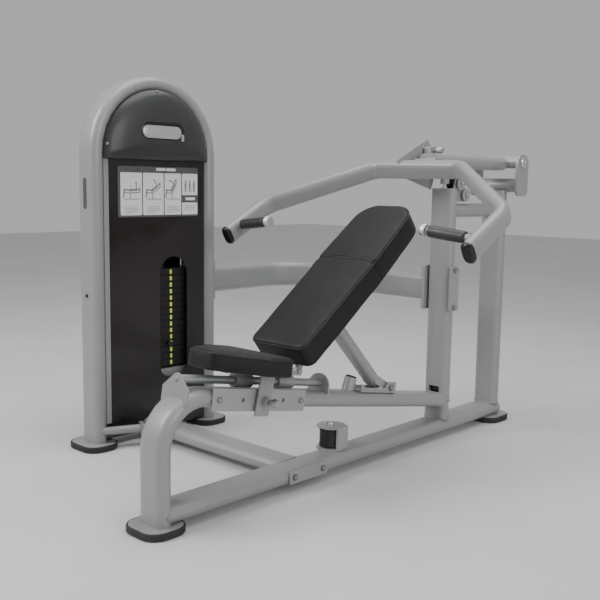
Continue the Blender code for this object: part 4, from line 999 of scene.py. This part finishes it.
def build_slot_inlay():
    """The dark grey strip that fills the slot in the tower's front side."""
    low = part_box("front_shroud")[0]
    width, length, thick, depth = 0.0285, 0.1190, 0.0032, 0.003
    centre = (low.x - 0.032, low.y - TUBE_THIN + depth, 0.977)
    strip = slab(rectangle(width, length, 0.0020), 0.0, thick, look_along((0, -1, 0), centre))
    new_piece("slot_inlay", strip, SLOT_INLAY, "frame")


def build_upright_window_shade():
    """A black sheet at the back of the window low in the main upright: painted shade for the tube's dark inside.
    """
    low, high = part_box("main_upright")
    width, height, thick = 0.0500, 0.0290, 0.0006
    floor_of_window = (0, (low.y + high.y) / 2 - 0.0105, 0.198)
    shade_sheet = slab(rectangle(width, height, 0.0030), 0.0, thick, look_along((0, -1, 0), floor_of_window))
    new_piece("upright_window_painted_shade", shade_sheet, FINISHES["black_plastic"], "frame")


def build_bumper_cap():
    """The rubber face of the bench's bumper."""
    lean = turned_frame(RAIL_SLOPE) @ turned_frame(BUMPER_LEAN)
    low, high = extent("bench_bumper", lean)
    centre = lean @ Vector((0.0, (low.y + high.y) / 2, high.z))
    matrix = Matrix.Translation(centre) @ lean
    profile = [(0.0195, -0.002), (0.0205, 0.002), (0.0195, 0.005), (0.0160, 0.006)]
    new_piece("bumper_face", stack_rings(turned_rings(profile, matrix)), FINISHES["foot_rubber"], "frame")


def build_weight_tags():
    """One yellow tag on each plate of the stack."""
    low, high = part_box("resting_plates")
    width, height = 0.0105, 0.0170
    centre_y = (low.y + high.y) / 2 + 0.018
    count = round((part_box("lifted_plates")[1].z + PLATE_PITCH - low.z) / PLATE_PITCH)
    resting = round((high.z - low.z) / PLATE_PITCH)
    for index in range(count):
        matrix = on_face(high.x, centre_y, low.z + PLATE_PITCH * (index + 0.5) - 0.001)
        body = "frame" if index < resting else "stack"
        tag = slab(rectangle(width, height, 0.0012, steps=2), 0.0001, 0.0009, matrix)
        new_piece(f"weight_tag_{index + 1:02d}", tag, TAG_YELLOW, body)


# Studio

def build_floor():
    """A plain pale floor, just below the soles."""
    shape = bmesh.new()
    bmesh.ops.create_grid(shape, x_segments=1, y_segments=1, size=14.0)
    mesh = bpy.data.meshes.new("floor")
    shape.to_mesh(mesh)
    shape.free()
    floor = bpy.data.objects.new("floor", mesh)
    floor.location.z = -0.0006
    bpy.context.scene.collection.objects.link(floor)
    mesh.materials.append(finish("pale_floor", (0.60, 0.60, 0.60), (0.64, 0.64, 0.64), (0.50, 0.60),
                                 patches=1.5, grain=(40.0, 0.0001)))


def area_light(name, position, target, size, power):
    """A soft lamp that faces its target."""
    light = bpy.data.lights.new(name, "AREA")
    light.shape = "RECTANGLE"
    light.size, light.size_y = size
    light.energy = power
    lamp = bpy.data.objects.new(name, light)
    lamp.location = position
    lamp.rotation_mode = "QUATERNION"
    lamp.rotation_quaternion = (Vector(position) - Vector(target)).to_track_quat("Z", "Y")
    bpy.context.scene.collection.objects.link(lamp)


def build_lights():
    """Pale surroundings, a key from the front right, a low fill and a wide overhead."""
    world = bpy.data.worlds.new("studio")
    world.use_nodes = True
    world.node_tree.nodes["Background"].inputs["Color"].default_value = (0.86, 0.87, 0.88, 1.0)
    world.node_tree.nodes["Background"].inputs["Strength"].default_value = 0.55
    bpy.context.scene.world = world
    centre = (CAD_BOX[0] + CAD_BOX[1]) / 2
    area_light("key", (-2.2, -4.6, 3.6), centre, (2.4, 2.4), 170.0)
    area_light("fill", (4.2, -1.6, 2.2), centre, (2.5, 2.0), 60.0)
    area_light("overhead", (0.0, -0.6, 4.2), centre, (3.4, 3.4), 110.0)


def build_camera():
    """A long lens a little above the bench, off the user's left foot."""
    position = Vector((1.984, -3.332, 1.017))
    azimuth, elevation, roll = math.radians(43.232), math.radians(7.496), math.radians(0.831)
    back = Vector((math.sin(azimuth) * math.cos(elevation), -math.cos(azimuth) * math.cos(elevation),
                   math.sin(elevation)))
    right = (-back).cross(Vector((0, 0, 1))).normalized()
    up = right.cross(-back)
    axis_x = right * math.cos(roll) + up * math.sin(roll)
    axis_y = up * math.cos(roll) - right * math.sin(roll)
    camera = bpy.data.objects.new("camera", bpy.data.cameras.new("camera"))
    camera.data.sensor_width = 36.0
    camera.data.lens = 52.1
    turn = Matrix((axis_x, axis_y, back)).transposed().to_4x4()
    camera.matrix_world = Matrix.Translation(position) @ turn
    bpy.context.scene.collection.objects.link(camera)
    bpy.context.scene.camera = camera


dress_frame()
build_seat_pad()
build_back_pad()
build_grips()
build_welds()
build_screws()
build_badge()
build_shroud_trim()
build_placard()
build_slot_inlay()
build_upright_window_shade()
build_bumper_cap()
build_weight_tags()
build_floor()
build_lights()
build_camera()
